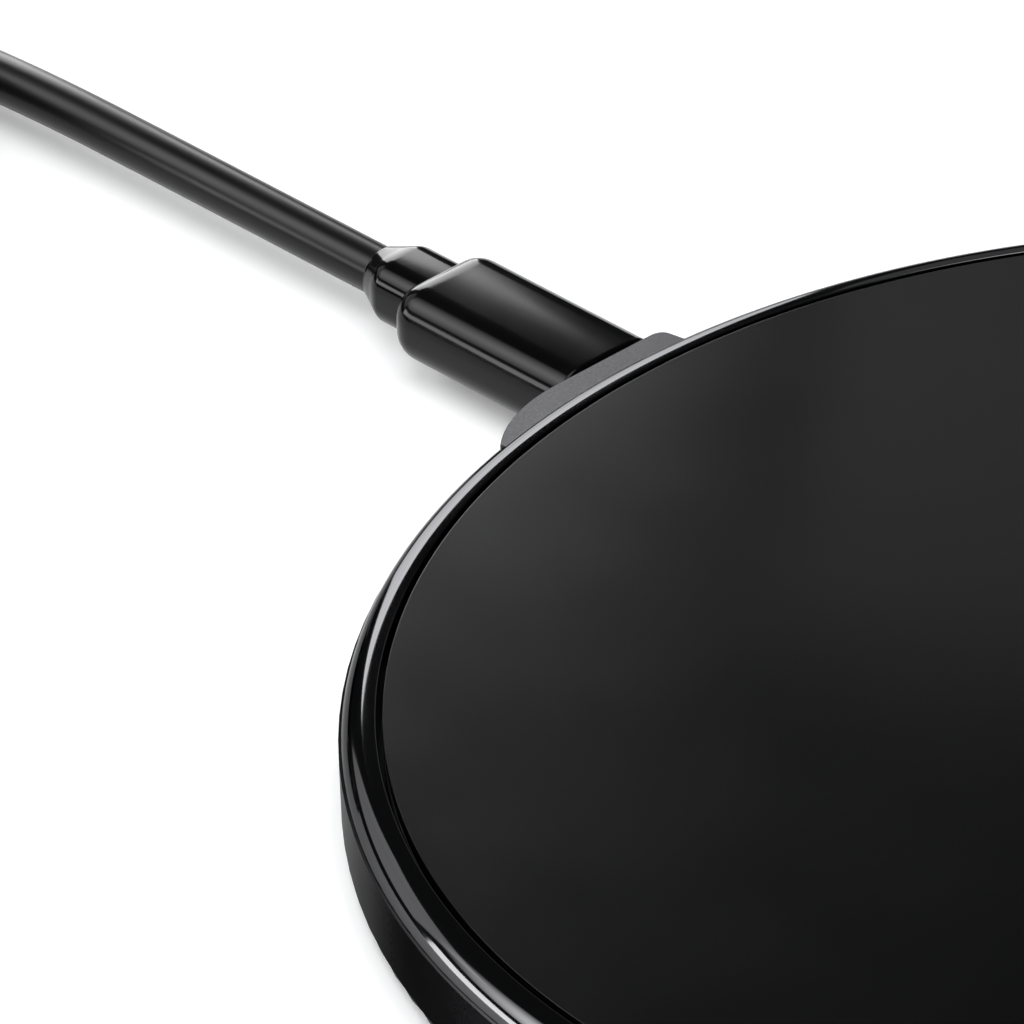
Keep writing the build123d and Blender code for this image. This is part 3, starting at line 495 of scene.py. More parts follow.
class Tree:
    """A Geometry Nodes tree with named inputs, run once on a base mesh and then baked."""

    def __init__(self, name: str) -> None:
        """Start the tree with its geometry and material inputs."""
        self.group = bpy.data.node_groups.new(name, "GeometryNodeTree")
        self.wiring = Wiring(self.group)
        self.add, self.out = self.wiring.add, self.wiring.out
        self.values: dict[str, object] = {}
        self.source = self.group.nodes.new("NodeGroupInput")
        self.geometry = self.given("Geometry", "NodeSocketGeometry")
        self.finish = self.given("Finish", "NodeSocketMaterial")
        self.group.interface.new_socket("Geometry", in_out="OUTPUT", socket_type="NodeSocketGeometry")

    def given(self, name: str, kind: str = "NodeSocketFloat", value: object = None) -> bpy.types.NodeSocket:
        """Add a named input.

        Args:
            name: the input's name.
            kind: its socket type.
            value: what it is set to on the modifier.

        Returns:
            The socket that carries it inside the tree.
        """
        made = self.group.interface.new_socket(name, in_out="INPUT", socket_type=kind)
        if value is not None:
            self.values[made.identifier] = value
        if kind == "NodeSocketMaterial":
            self.material_input = made.identifier
        return self.source.outputs[name]

    def bake(self, result: bpy.types.NodeSocket, base: bpy.types.Mesh, name: str,
             finish: Finish) -> bpy.types.Object:
        """Close the tree, run it on a base mesh and keep the plain result.

        Args:
            result: the geometry that the tree has made.
            base: the mesh that the modifier sits on.
            name: the piece's name.
            finish: what it is dressed in.

        Returns:
            A plain mesh object with no modifier.
        """
        real = self.out("GeometryNodeRealizeInstances", {0: result})
        dressed = self.out("GeometryNodeSetMaterial", {"Geometry": real, "Material": self.finish})
        self.add("NodeGroupOutput", {0: dressed})
        piece = bpy.data.objects.new(name, base)
        bpy.context.scene.collection.objects.link(piece)
        modifier = piece.modifiers.new("build", "NODES")
        modifier.node_group = self.group
        modifier[self.material_input] = finish.material()
        for identifier, value in self.values.items():
            modifier[identifier] = value
        view = bpy.context.evaluated_depsgraph_get()
        evaluated = piece.evaluated_get(view)
        mesh = bpy.data.meshes.new_from_object(evaluated, preserve_all_data_layers=True, depsgraph=view)
        piece.modifiers.remove(modifier)
        piece.data = mesh
        mesh.name = name
        bpy.data.meshes.remove(base)
        bm = bmesh.new()
        bm.from_mesh(mesh)
        smoothed(bm, mesh)
        return piece


def settle(piece: bpy.types.Object, body: str, slot: str, *nodes: str) -> bpy.types.Object:
    """Put a finished piece on its body and hide the CAD nodes that it stands for.

    Args:
        piece: the finished piece.
        body: the body that it rides on.
        slot: not used.
        nodes: CAD nodes that it replaces.

    Returns:
        The same piece.
    """
    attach(piece, body)
    if nodes:
        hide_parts(*nodes)
    faces = len(piece.data.polygons) if piece.type == "MESH" else 0
    log.info("%s on %s: %d faces, stands for %s", piece.name, body, faces, ", ".join(nodes) or "itself")
    return piece


# --- Camera, floor and lights ---


@dataclass(frozen=True)
class Viewpoint:
    """Where the camera stands, in millimetres and degrees, about the pad's far-left edge."""

    target: Point = (-18.076, 48.595, 7.4)
    azimuth: float = -42.267
    elevation: float = 32.312
    roll: float = -2.144
    distance: float = 700.0
    lens: float = 382.0
    sensor: float = 36.0

    def axes(self) -> tuple[Vector, Vector, Vector]:
        """The camera's right, up and backward directions, rolled."""
        turn, tilt, lean = (math.radians(a) for a in (self.azimuth, self.elevation, self.roll))
        back = Vector((math.sin(turn) * math.cos(tilt), -math.cos(turn) * math.cos(tilt), math.sin(tilt)))
        level = Vector((math.cos(turn), math.sin(turn), 0.0))
        upright = back.cross(level)
        right = math.cos(lean) * level + math.sin(lean) * upright
        return right, back.cross(right), back

    def place(self) -> bpy.types.Object:
        """Make the camera and put it in use.

        Returns:
            The camera object.
        """
        right, up, back = self.axes()
        lens = bpy.data.cameras.new("camera")
        lens.lens, lens.sensor_width = self.lens, self.sensor
        lens.clip_start, lens.clip_end = 0.01, 100.0
        camera = bpy.data.objects.new("camera", lens)
        turned_to = Matrix((right, up, back)).transposed().to_4x4()
        camera.matrix_world = Matrix.Translation((Vector(self.target) + back * self.distance) * MM) @ turned_to
        bpy.context.scene.collection.objects.link(camera)
        bpy.context.scene.camera = camera
        return camera


@dataclass(frozen=True)
class Softbox:
    """A flat soft light placed by bearing and height from the point in view, which it faces."""

    name: str
    bearing: float
    elevation: float
    distance: float
    width: float
    height: float
    brightness: float
    spread: float = 180.0
    aim: Point | None = None
    colour: Colour = (1.0, 1.0, 1.0)

    def place(self, middle: Vector) -> bpy.types.Object:
        """Make the light.

        Args:
            middle: the point in view, in metres. The light faces it unless it has an aim of its own.

        Returns:
            The light's object.
        """
        bearing, tilt = math.radians(self.bearing), math.radians(self.elevation)
        toward = Vector((math.cos(bearing) * math.cos(tilt), math.sin(bearing) * math.cos(tilt), math.sin(tilt)))
        lamp = bpy.data.lights.new(self.name, "AREA")
        lamp.shape, lamp.size, lamp.size_y = "RECTANGLE", self.width, self.height
        lamp.energy = self.brightness * math.pi * self.width * self.height
        lamp.spread = math.radians(self.spread)
        lamp.color = self.colour
        box = bpy.data.objects.new(self.name, lamp)
        here = middle + toward * self.distance
        away = here - Vector(self.aim) * MM if self.aim else toward
        box.matrix_world = Matrix.Translation(here) @ away.to_track_quat("Z", "Y").to_matrix().to_4x4()
        box.visible_camera = False
        bpy.context.scene.collection.objects.link(box)
        return box


@dataclass
class Studio:
    """The pale floor, the soft lights round the pad and the dim room."""

    floor_size: float = 3.0
    floor_colour: Colour = (0.92, 0.925, 0.93)
    floor_glow: float = 0.2
    room: Colour = (0.92, 0.96, 1.0)
    room_level: float = 0.04
    softboxes: list[Softbox] = field(default_factory=lambda: [
        Softbox("overhead", -132.0, 74.0, 0.9, 0.8, 0.8, 3.4),
        Softbox("back_box", 58.0, 15.2, 0.45, 0.168, 0.225, 6.5),
        Softbox("panel_card", 23.8, 24.9, 0.141, 0.057, 0.057, 0.36),
        Softbox("left_box", 129.5, 5.0, 0.5, 0.21, 0.12, 8.0),
        Softbox("lead_card", 125.0, 37.0, 0.5, 0.36, 0.3, 0.5, 50.0, (0.0, 92.0, 4.0)),
        Softbox("left_card", 99.0, 23.0, 0.5, 0.25, 0.25, 1.1),
    ])

    def floor(self) -> bpy.types.Object:
        """Make the floor, white as it is seen and as metal reflects it, and keeping the shadow.

        Returns:
            The floor.
        """
        bm = bmesh.new()
        bmesh.ops.create_grid(bm, x_segments=8, y_segments=8, size=self.floor_size)
        mesh = bpy.data.meshes.new("floor")
        bm.to_mesh(mesh)
        bm.free()
        material = bpy.data.materials.new("pale_floor")
        material.use_nodes = True
        material.node_tree.nodes.clear()
        wiring = Wiring(material.node_tree)
        rays = wiring.add("ShaderNodeLightPath").outputs
        seen = wiring.maths("MAXIMUM", rays["Is Camera Ray"], rays["Is Glossy Ray"])
        seen = wiring.maths("MAXIMUM", seen, rays["Is Transmission Ray"])
        base = wiring.out("ShaderNodeBsdfDiffuse", {"Color": (*self.floor_colour, 1.0)})
        glow = wiring.out("ShaderNodeEmission", {"Strength": wiring.maths("MULTIPLY", seen, self.floor_glow)})
        both = wiring.out("ShaderNodeAddShader", {0: base, 1: glow})
        wiring.add("ShaderNodeOutputMaterial", {"Surface": both})
        mesh.materials.append(material)
        floor = bpy.data.objects.new("floor", mesh)
        bpy.context.scene.collection.objects.link(floor)
        return floor

    def build(self, aim: Point) -> None:
        """Set up the whole studio.

        Args:
            aim: the point that the lights face, in millimetres.
        """
        scene = bpy.context.scene
        scene.view_settings.view_transform = "Standard"
        world = bpy.data.worlds.new("room")
        world.use_nodes = True
        world.node_tree.nodes["Background"].inputs["Color"].default_value = (*self.room, 1.0)
        world.node_tree.nodes["Background"].inputs["Strength"].default_value = self.room_level
        scene.world = world
        self.floor()
        for softbox in self.softboxes:
            softbox.place(Vector(aim) * MM)
        log.info("studio: %d soft lights", len(self.softboxes))


# --- The lead ---


@dataclass
class Lead:
    """The cable: one line from the plug's neck to the supply plug, with its stored length coiled."""

    diameter: float = 3.5
    length: float = 0.994
    leaves: Point = (0.0, 0.08045, 0.00421)
    run: list[Point] = field(default_factory=lambda: [
        (0.0, 0.07895, 0.00421), (0.0, 0.0985, 0.0042), (0.0, 0.1185, 0.00408), (0.0, 0.136, 0.0022),
        (0.0, 0.15, 0.00175),
    ])
    tail: list[Point] = field(default_factory=lambda: [
        (-0.042, 0.15, 0.00525), (-0.042, 0.142, 0.005), (-0.042, 0.134, 0.0038), (-0.042, 0.1265, 0.0038),
    ])
    coil_centre: Flat = (-0.021, 0.15)
    inner_turn: float = 17.5
    outer_turn: float = 21.0
    points_a_turn: int = 24
    half_turns: int = 15
    shift_half_width: float = 36.0

    def layers(self) -> list[Flat]:
        """Radius and height of each turn in order, laid down the inside, up it and down the outside."""
        low, step = self.diameter / 2, self.diameter
        inner = [(self.inner_turn, low + i * step) for i in range(4)]
        outer = [(self.outer_turn, low + i * step) for i in (3, 2, 1)]
        return [(self.outer_turn, low), *inner, *outer]

    def turn_place(self, angle: float) -> Point:
        """Where the cable's centre is in the coil.

        Args:
            angle: degrees round the coil from where the run joins it.

        Returns:
            The point in metres. Each turn moves over to the next one's place where the turns beside it don't.
        """
        moves_at = (320.0, 285.0, 285.0, 285.0, 250.0, 221.0, 221.0, 221.0)
        layers = self.layers()
        turn, phase = int(angle // 360), angle % 360
        here, after = layers[turn], layers[min(turn + 1, len(layers) - 1)]
        share = (phase - moves_at[turn]) / (2 * self.shift_half_width) + 0.5
        share = min(1.0, max(0.0, share))
        share = share * share * (3 - 2 * share)
        radius, height = (a + (b - a) * share for a, b in zip(here, after))
        radius *= MM / math.cos(math.pi / self.points_a_turn)
        phase = math.radians(phase)
        x, y = self.coil_centre
        return (x + radius * math.cos(phase), y + radius * math.sin(phase), height * MM)

    def route(self) -> list[Point]:
        """Every point of the cable's line, in order."""
        step = 360 / self.points_a_turn
        count = self.half_turns * self.points_a_turn // 2
        return [*self.run, *(self.turn_place(step * i) for i in range(1, count)), *self.tail]

    def build(self) -> bpy.types.Object:
        """Draw the cable.

        Returns:
            One smooth curve with the jacket's thickness, on the lead.
        """
        points = self.route()
        curve = bpy.data.curves.new("cable", "CURVE")
        curve.dimensions = "3D"
        curve.bevel_depth = self.diameter / 2 * MM
        curve.bevel_resolution = 8
        curve.resolution_u = 10
        curve.use_fill_caps = True
        line = curve.splines.new("NURBS")
        line.points.add(len(points) - 1)
        for place, point in zip(points, line.points):
            point.co = (*place, 1.0)
        line.use_endpoint_u = True
        line.order_u = 3
        line.use_smooth = True
        curve.materials.append(JACKET.material())
        cable = bpy.data.objects.new("cable", curve)
        bpy.context.scene.collection.objects.link(cable)
        return settle(cable, "lead", "cable", "cable_run", "cable_coil", "cable_tail")


@dataclass
class CableTie:
    """A hook-and-loop strap round the coil, its end lapped over its start."""

    centre: Flat = (-21.0, 150.0)
    angle: float = -62.0
    inner: float = 15.575
    outer: float = 22.925
    top: float = 14.35
    thickness: float = 0.7
    width: float = 5.0
    corner: float = 1.75
    lap_from: float = 3.0
    lap_to: float = 10.6
    loops: float = 2.6e6
    seed: int = 7

    def path(self) -> list[Flat]:
        """The strap's middle line, as (distance from the coil's centre, height)."""
        half = self.thickness / 2
        out, low, high = self.outer - half, half, self.top - half
        inner = self.inner + half
        corner = self.corner - half
        lap = out + self.thickness + 0.03
        corners = [(out, self.lap_from, 0.0), (out, high, corner), (inner, high, corner), (inner, low, corner),
                   (out, low, corner), (out, self.lap_from - 1.6, 2.0), (lap, self.lap_from + 0.6, 2.0),
                   (lap, self.lap_to, 0.0)]
        return [(a, b) for a, b, _ in Outline(corners, closed=False, steps=6).points()]

    def strap(self) -> bpy.types.Object:
        """Make the strap itself.

        Returns:
            The strap, with rounded edges along its length.
        """
        line = [Vector(p) for p in self.path()]
        edge_round = 0.22
        half_t, half_w = self.thickness / 2, self.width / 2
        corners = [(-half_t, -half_w), (half_t, -half_w), (half_t, half_w), (-half_t, half_w)]
        section = Outline([(*corner, edge_round) for corner in corners], steps=3).points()
        spin = math.radians(self.angle)
        radial = Vector((math.cos(spin), math.sin(spin), 0.0))
        across = Vector((-radial.y, radial.x, 0.0))
        origin = Vector((*self.centre, 0.0))
        sections = []
        for i, here in enumerate(line):
            way = (line[min(i + 1, len(line) - 1)] - line[max(i - 1, 0)]).normalized()
            out = Vector((way.y, -way.x))
            ring = []
            for thick, wide, worn in section:
                spot = here + out * thick
                ring.append((origin + radial * spot.x + across * wide + Vector((0, 0, spot.y)), worn))
            sections.append(ring)
        return lofted("tie_strap", STRAP, sections)

    def pile(self, strap: bpy.types.Object) -> bpy.types.Object:
        """Cover the strap's outside with small loops.

        Args:
            strap: the strap that carries them.

        Returns:
            The loops as one plain mesh.
        """
        tree = Tree("loop_pile")
        density = tree.given("Loops a square metre", value=self.loops)
        seed = tree.given("Seed", "NodeSocketInt", self.seed)
        size = tree.given("Loop size", value=0.2 * MM)
        thread = tree.given("Thread", value=0.035 * MM)
        clear = tree.given("Clear of the ground", value=0.5 * MM)
        height = tree.add("ShaderNodeSeparateXYZ", {0: tree.out("GeometryNodeInputPosition")}).outputs[2]
        lifted = tree.wiring.maths("GREATER_THAN", height, clear)
        spread = tree.add("GeometryNodeDistributePointsOnFaces",
                          {"Mesh": tree.geometry, "Density": density, "Seed": seed, "Selection": lifted})
        ring = tree.out("GeometryNodeCurvePrimitiveCircle", {"Resolution": 6, "Radius": size})
        bead = tree.out("GeometryNodeCurvePrimitiveCircle", {"Resolution": 3, "Radius": thread})
        loop = tree.out("GeometryNodeCurveToMesh", {"Curve": ring, "Profile Curve": bead})
        stood = tree.out("GeometryNodeTransform", {"Geometry": loop, "Rotation": (math.pi / 2, 0.0, 0.0)})
        twist = tree.add("FunctionNodeRandomValue", {2: 0.0, 3: 2 * math.pi, "Seed": seed}).outputs[1]
        about = tree.out("ShaderNodeCombineXYZ", {"Z": twist})
        turn = tree.out("FunctionNodeRotateRotation", {"Rotation": spread.outputs["Rotation"], "Rotate By": about},
                        rotation_space="LOCAL")
        placed = tree.out("GeometryNodeInstanceOnPoints",
                          {"Points": spread.outputs["Points"], "Instance": stood, "Rotation": turn})
        return tree.bake(placed, strap.data.copy(), "tie_pile", PILE)

    def build(self) -> list[bpy.types.Object]:
        """Make the tie.

        Returns:
            The strap and its pile, on the lead.
        """
        strap = self.strap()
        pile = self.pile(strap)
        return [settle(strap, "lead", "tie", "cable_tie"), settle(pile, "lead", "tie")]


@dataclass
class Neck:
    """A plug's strain relief: a straight part out of the overmold, then a taper down to the cable."""

    root: float
    step: float
    end: float
    width: float
    height: float
    corner: float
    tip_radius: float = 2.0
    tip_round: float = 0.15
    lead_in: float = 0.35
    steps: int = 14

    def stations(self, grip: Grip) -> list[Station]:
        """The neck's cross-sections.

        Args:
            grip: the grip that will loft them.

        Returns:
            Stations from the root to the tip, easing into the taper and round the tip's edge.
        """
        bar = grip.bar(self.root, self.step, self.width, self.height, self.corner, 0.1, 0.1)
        found = bar[: len(bar) // 2]
        first, last = self.step - self.lead_in, self.end - self.tip_round
        for k in range(self.steps + 1):
            share = k / self.steps
            eased = share * share * (2 - share) if share < 0.5 else share - 0.125
            eased /= 0.875
            sizes = [full + (self.tip_radius - full) * eased for full in (self.width / 2, self.height / 2)]
            corner = self.corner + (self.tip_radius - 0.01 - self.corner) * eased
            found.append(Station(first + (last - first) * share, *sizes, corner, 0.5 * eased))
        for k in range(1, 5):
            angle = math.pi / 8 * k
            radius = self.tip_radius - self.tip_round * (1 - math.cos(angle))
            found.append(Station(last + self.tip_round * math.sin(angle), radius, radius, radius - 0.01, 0.5))
        return found


@dataclass
class Plug:
    """The moulded part of a plug: its overmold and its neck."""

    name: str
    grip: Grip
    face: float
    back: float
    width: float
    height: float
    corner: float
    face_round: float
    back_round: float
    neck: Neck

    def build(self) -> list[bpy.types.Object]:
        """Make the moulded pieces.

        Returns:
            The overmold and the neck, on the lead.
        """
        bar = self.grip.bar(self.face, self.back, self.width, self.height, self.corner, self.face_round,
                            self.back_round)
        overmold = self.grip.moulded(self.name + "_grip", OVERMOLD, bar)
        relief = self.grip.moulded(self.name + "_strain_relief", OVERMOLD, self.neck.stations(self.grip))
        return [settle(overmold, "lead", "overmold", self.name + "_overmold"),
                settle(relief, "lead", "overmold", self.name + "_neck")]


DEVICE_PLUG = Plug("plug", Grip(0.0, 4.21), face=58.7, back=75.65, width=9.0, height=5.6, corner=2.3,
                   face_round=0.25, back_round=2.2, neck=Neck(74.15, 78.45, 80.45, 5.6, 4.8, 1.8))
SUPPLY_PLUG = Plug("supply_plug", Grip(-42.0, 3.8), face=102.0, back=121.0, width=15.6, height=7.6,
                   corner=2.4, face_round=0.3, back_round=1.2, neck=Neck(119.5, 125.4, 128.0, 7.6, 5.4, 2.2))


# --- The pad ---


@dataclass
class PortLug:
    """The ring's lug over the port: flat front, sloping top, its -X end running out along the wall."""

    front: float = 58.55
    short_side: float = 4.8
    short_round: float = 0.8
    long_side: float = 16.2
    long_round: float = 11.3
    fades_at: float = 12.6
    root: float = 55.6
    low: float = 5.8
    inner: float = 56.4
    high: float = 7.15
    fall: float = 0.13
    edge: float = 0.1
    steps: int = 48

    def reach(self, x: float) -> float:
        """How far out the front stands at a place across the port."""
        for side, radius in ((self.short_side - x, self.short_round), (x + self.long_side, self.long_round)):
            if side < radius:
                return self.front - radius + math.sqrt(max(0.0, radius**2 - (radius - side) ** 2))
        return self.front

    def top(self, x: float, y: float) -> float:
        """Height of the sloping top."""
        return self.high - self.fall * (math.hypot(x, y) - self.inner)

    def section(self, x: float) -> list[Weighted]:
        """The lug cut across at x, as (y, z, edge) from its hidden root round its front and over its top."""
        start, out = math.sqrt(self.root**2 - x * x), self.reach(x)
        r = self.edge
        found = [(start, self.low, 0.0), (out, self.low, 0.0), (out, self.top(x, out) - 1.2 * r, 0.0)]
        for k in range(7):
            angle = math.pi / 12 * k
            y = out - r * (1 - math.cos(angle))
            found.append((y, self.top(x, y) - r * (1 - math.sin(angle)), math.sin(2 * angle)))
        found.append((out - 1.2 * r, self.top(x, out - 1.2 * r), 0.0))
        for k in range(1, 5):
            y = out - 1.2 * r + (start - out + 1.2 * r) * k / 4
            found.append((y, self.top(x, y), 0.0))
        return found

    def build(self) -> bpy.types.Object:
        """Loft the lug's sections.

        Returns:
            The lug, on the pad.
        """
        places = [-self.fades_at + (self.short_side - self.short_round + self.fades_at) * k / self.steps
                  for k in range(self.steps + 1)]
        places += [self.short_side - self.short_round * (1 - math.sin(math.pi / 24 * k)) for k in range(1, 12)]
        places.append(self.short_side - 0.001)
        sections = [[((x, y, z), worn) for y, z, worn in self.section(x)] for x in places]
        return settle(lofted("port_lug", LUG, sections), "pad", "rim")


@dataclass
class Housing:
    """What shows of the pad: panel, rim ring and foot. The lower shell is carried over and dressed."""

    top: float = 7.4
    panel_radius: float = 54.65
    panel_low: float = 6.4
    panel_round: float = 0.04
    rim_radius: float = 57.35
    rim_round: float = 1.9
    rim_inner: float = 55.05
    seam: float = 5.8
    lip_radius: float = 55.52
    lip_low: float = 4.8
    ledge: float = 5.6
    ledge_inner: float = 53.2
    edge_break: float = 0.12
    lip_rise: float = 0.02
    lip_round: float = 0.06
    ledge_round: float = 0.08
    notch_half: float = 4.4
    foot_radius: float = 47.5
    foot_top: float = 0.9
    foot_round: float = 0.2
    grooves: Point = (40.0, 42.5, 45.0)
    groove_mouth: float = 0.45
    groove_floor: float = 0.2
    groove_depth: float = 0.15
    groove_round: float = 0.06
    segments: int = 480

    def panel(self) -> bpy.types.Object:
        """The top panel, a flat disc with a softened edge."""
        corners = [(0.0, self.top, 0.0), (self.panel_radius, self.top, self.panel_round),
                   (self.panel_radius, self.panel_low, 0.05), (0.0, self.panel_low, 0.0)]
        return turned("charging_panel", PANEL, Outline(corners, closed=False, steps=6), self.segments)

    def rim_outline(self) -> list[Weighted]:
        """The rim's section: rounded shoulder, locating lip and the tray's ledge."""
        centre_r, centre_z = self.rim_radius - self.rim_round, self.top - self.rim_round
        low = math.asin((self.seam - centre_z) / self.rim_round)
        steps = 24
        found = []
        for k in range(steps + 1):
            angle = math.pi / 2 + (low - math.pi / 2) * k / steps
            out, up = self.rim_round * math.cos(angle), self.rim_round * math.sin(angle)
            found.append((centre_r + out, centre_z + up, SHOULDER_WEAR))
        corners = [(*found[-1][:2], 0.0), (self.lip_radius, self.seam, 0.0),
                   (self.lip_radius, self.lip_low + self.lip_rise, self.lip_round),
                   (self.ledge_inner, self.lip_low, self.ledge_round), (self.ledge_inner, self.ledge, self.ledge_round),
                   (self.rim_inner, self.ledge, 0.0), (self.rim_inner, self.top, self.edge_break),
                   (*found[0][:2], 0.0)]
        inside = Outline(corners, closed=False, steps=5).points()
        return found + inside[1:-1]

    def rim(self) -> bpy.types.Object:
        """Sweep the rim's section round the pad with Geometry Nodes, then notch it for the port.

        Returns:
            The rim ring.
        """
        section = self.rim_outline()
        base = bpy.data.meshes.new("rim_section")
        places = [((r - self.rim_radius) * MM, (self.top - z) * MM, 0.0) for r, z, _ in section]
        base.from_pydata(places, [(i, (i + 1) % len(places)) for i in range(len(places))], [])
        base.attributes.new(EDGE, "FLOAT", "POINT").data.foreach_set("value", [w for _, _, w in section])
        tree = Tree("swept_ring")
        radius = tree.given("Rim radius", value=self.rim_radius * MM)
        height = tree.given("Rim top", value=self.top * MM)
        steps = tree.given("Steps round", "NodeSocketInt", self.segments)
        line = tree.out("GeometryNodeMeshToCurve", {0: tree.geometry})
        circle = tree.out("GeometryNodeCurvePrimitiveCircle", {"Resolution": steps, "Radius": radius})
        ring = tree.out("GeometryNodeCurveToMesh", {"Curve": circle, "Profile Curve": line})
        lift = tree.out("ShaderNodeCombineXYZ", {"Z": height})
        placed = tree.out("GeometryNodeTransform", {"Geometry": ring, "Translation": lift})
        top = self.ledge + 0.01
        room = tree.given("Port room", "NodeSocketVector", (2 * self.notch_half * MM, 60 * MM, top * MM))
        middle = tree.given("Port room centre", "NodeSocketVector", (0.0, 30 * MM, top / 2 * MM))
        block = tree.out("GeometryNodeMeshCube", {"Size": room})
        moved = tree.out("GeometryNodeTransform", {"Geometry": block, "Translation": middle})
        cut = tree.out("GeometryNodeMeshBoolean", {"Mesh 1": placed, "Mesh 2": moved}, operation="DIFFERENCE")
        return tree.bake(cut, base, "rim", RIM)

    def foot(self) -> bpy.types.Object:
        """The foot, with three shallow grip grooves near its edge."""
        corners = [(0.0, 0.0, 0.0)]
        for middle in self.grooves:
            for across, up in ((-self.groove_mouth, 0.0), (-self.groove_floor, self.groove_depth),
                               (self.groove_floor, self.groove_depth), (self.groove_mouth, 0.0)):
                corners.append((middle + across, up, self.groove_round))
        corners += [(self.foot_radius, 0.0, self.foot_round), (self.foot_radius, self.foot_top, 0.05),
                    (0.0, self.foot_top, 0.0)]
        return turned("foot", FOOT, Outline(corners, closed=False, steps=5), self.segments // 2)

    def build(self) -> list[bpy.types.Object]:
        """Make the housing's visible pieces.

        Returns:
            The panel, the rim and the foot, on the pad.
        """
        return [settle(self.panel(), "pad", "panel", "top_panel"), settle(self.rim(), "pad", "rim", "rim_ring"),
                settle(self.foot(), "pad", "foot", "foot_pad")]


# --- What repeats inside the pad and the plugs ---


@dataclass
class Winding:
    """The charging coil: one flat-sided strand wound outwards in a spiral."""

    turns: int = 10
    inner: float = 10.25
    outer: float = 21.5
    low: float = 4.0
    high: float = 5.15
    gap: float = 0.03
    corner: float = 0.3
    steps_a_turn: int = 120

    def build(self) -> bpy.types.Object:
        """Wind the strand.

        Returns:
            The coil, on the pad, with both its ends toward the board.
        """
        pitch = (self.outer - self.inner) / self.turns
        half_w, half_h, r = (pitch - self.gap) / 2, (self.high - self.low) / 2, self.corner
        corners = [(-half_w, -half_h, r), (half_w, -half_h, r), (half_w, half_h, r), (-half_w, half_h, r)]
        section = Outline(corners, steps=4).points()
        base = bpy.data.meshes.new("strand_section")
        base.from_pydata([(a * MM, b * MM, 0.0) for a, b, _ in section],
                         [(i, (i + 1) % len(section)) for i in range(len(section))], [])
        base.attributes.new(EDGE, "FLOAT", "POINT")
        tree = Tree("spiral_winding")
        turns = tree.given("Turns", value=float(self.turns))
        steps = tree.given("Steps a turn", "NodeSocketInt", self.steps_a_turn)
        first = tree.given("First radius", value=(self.inner + pitch / 2) * MM)
        last = tree.given("Last radius", value=(self.outer - pitch / 2) * MM)
        level = tree.given("Level", value=(self.low + half_h) * MM)
        strand = tree.out("GeometryNodeMeshToCurve", {0: tree.geometry})
        sockets = {"Resolution": steps, "Rotations": turns, "Start Radius": first, "End Radius": last,
                   "Height": 0.0}
        spiral = tree.out("GeometryNodeCurveSpiral", sockets)
        wound = tree.out("GeometryNodeCurveToMesh",
                         {"Curve": spiral, "Profile Curve": strand, "Fill Caps": True})
        lift = tree.out("ShaderNodeCombineXYZ", {"Z": level})
        sockets = {"Geometry": wound, "Translation": lift, "Rotation": (0.0, 0.0, math.pi / 2)}
        placed = tree.out("GeometryNodeTransform", sockets)
        return settle(tree.bake(placed, base, "coil_winding", COPPER), "pad", "copper", "charging_coil")


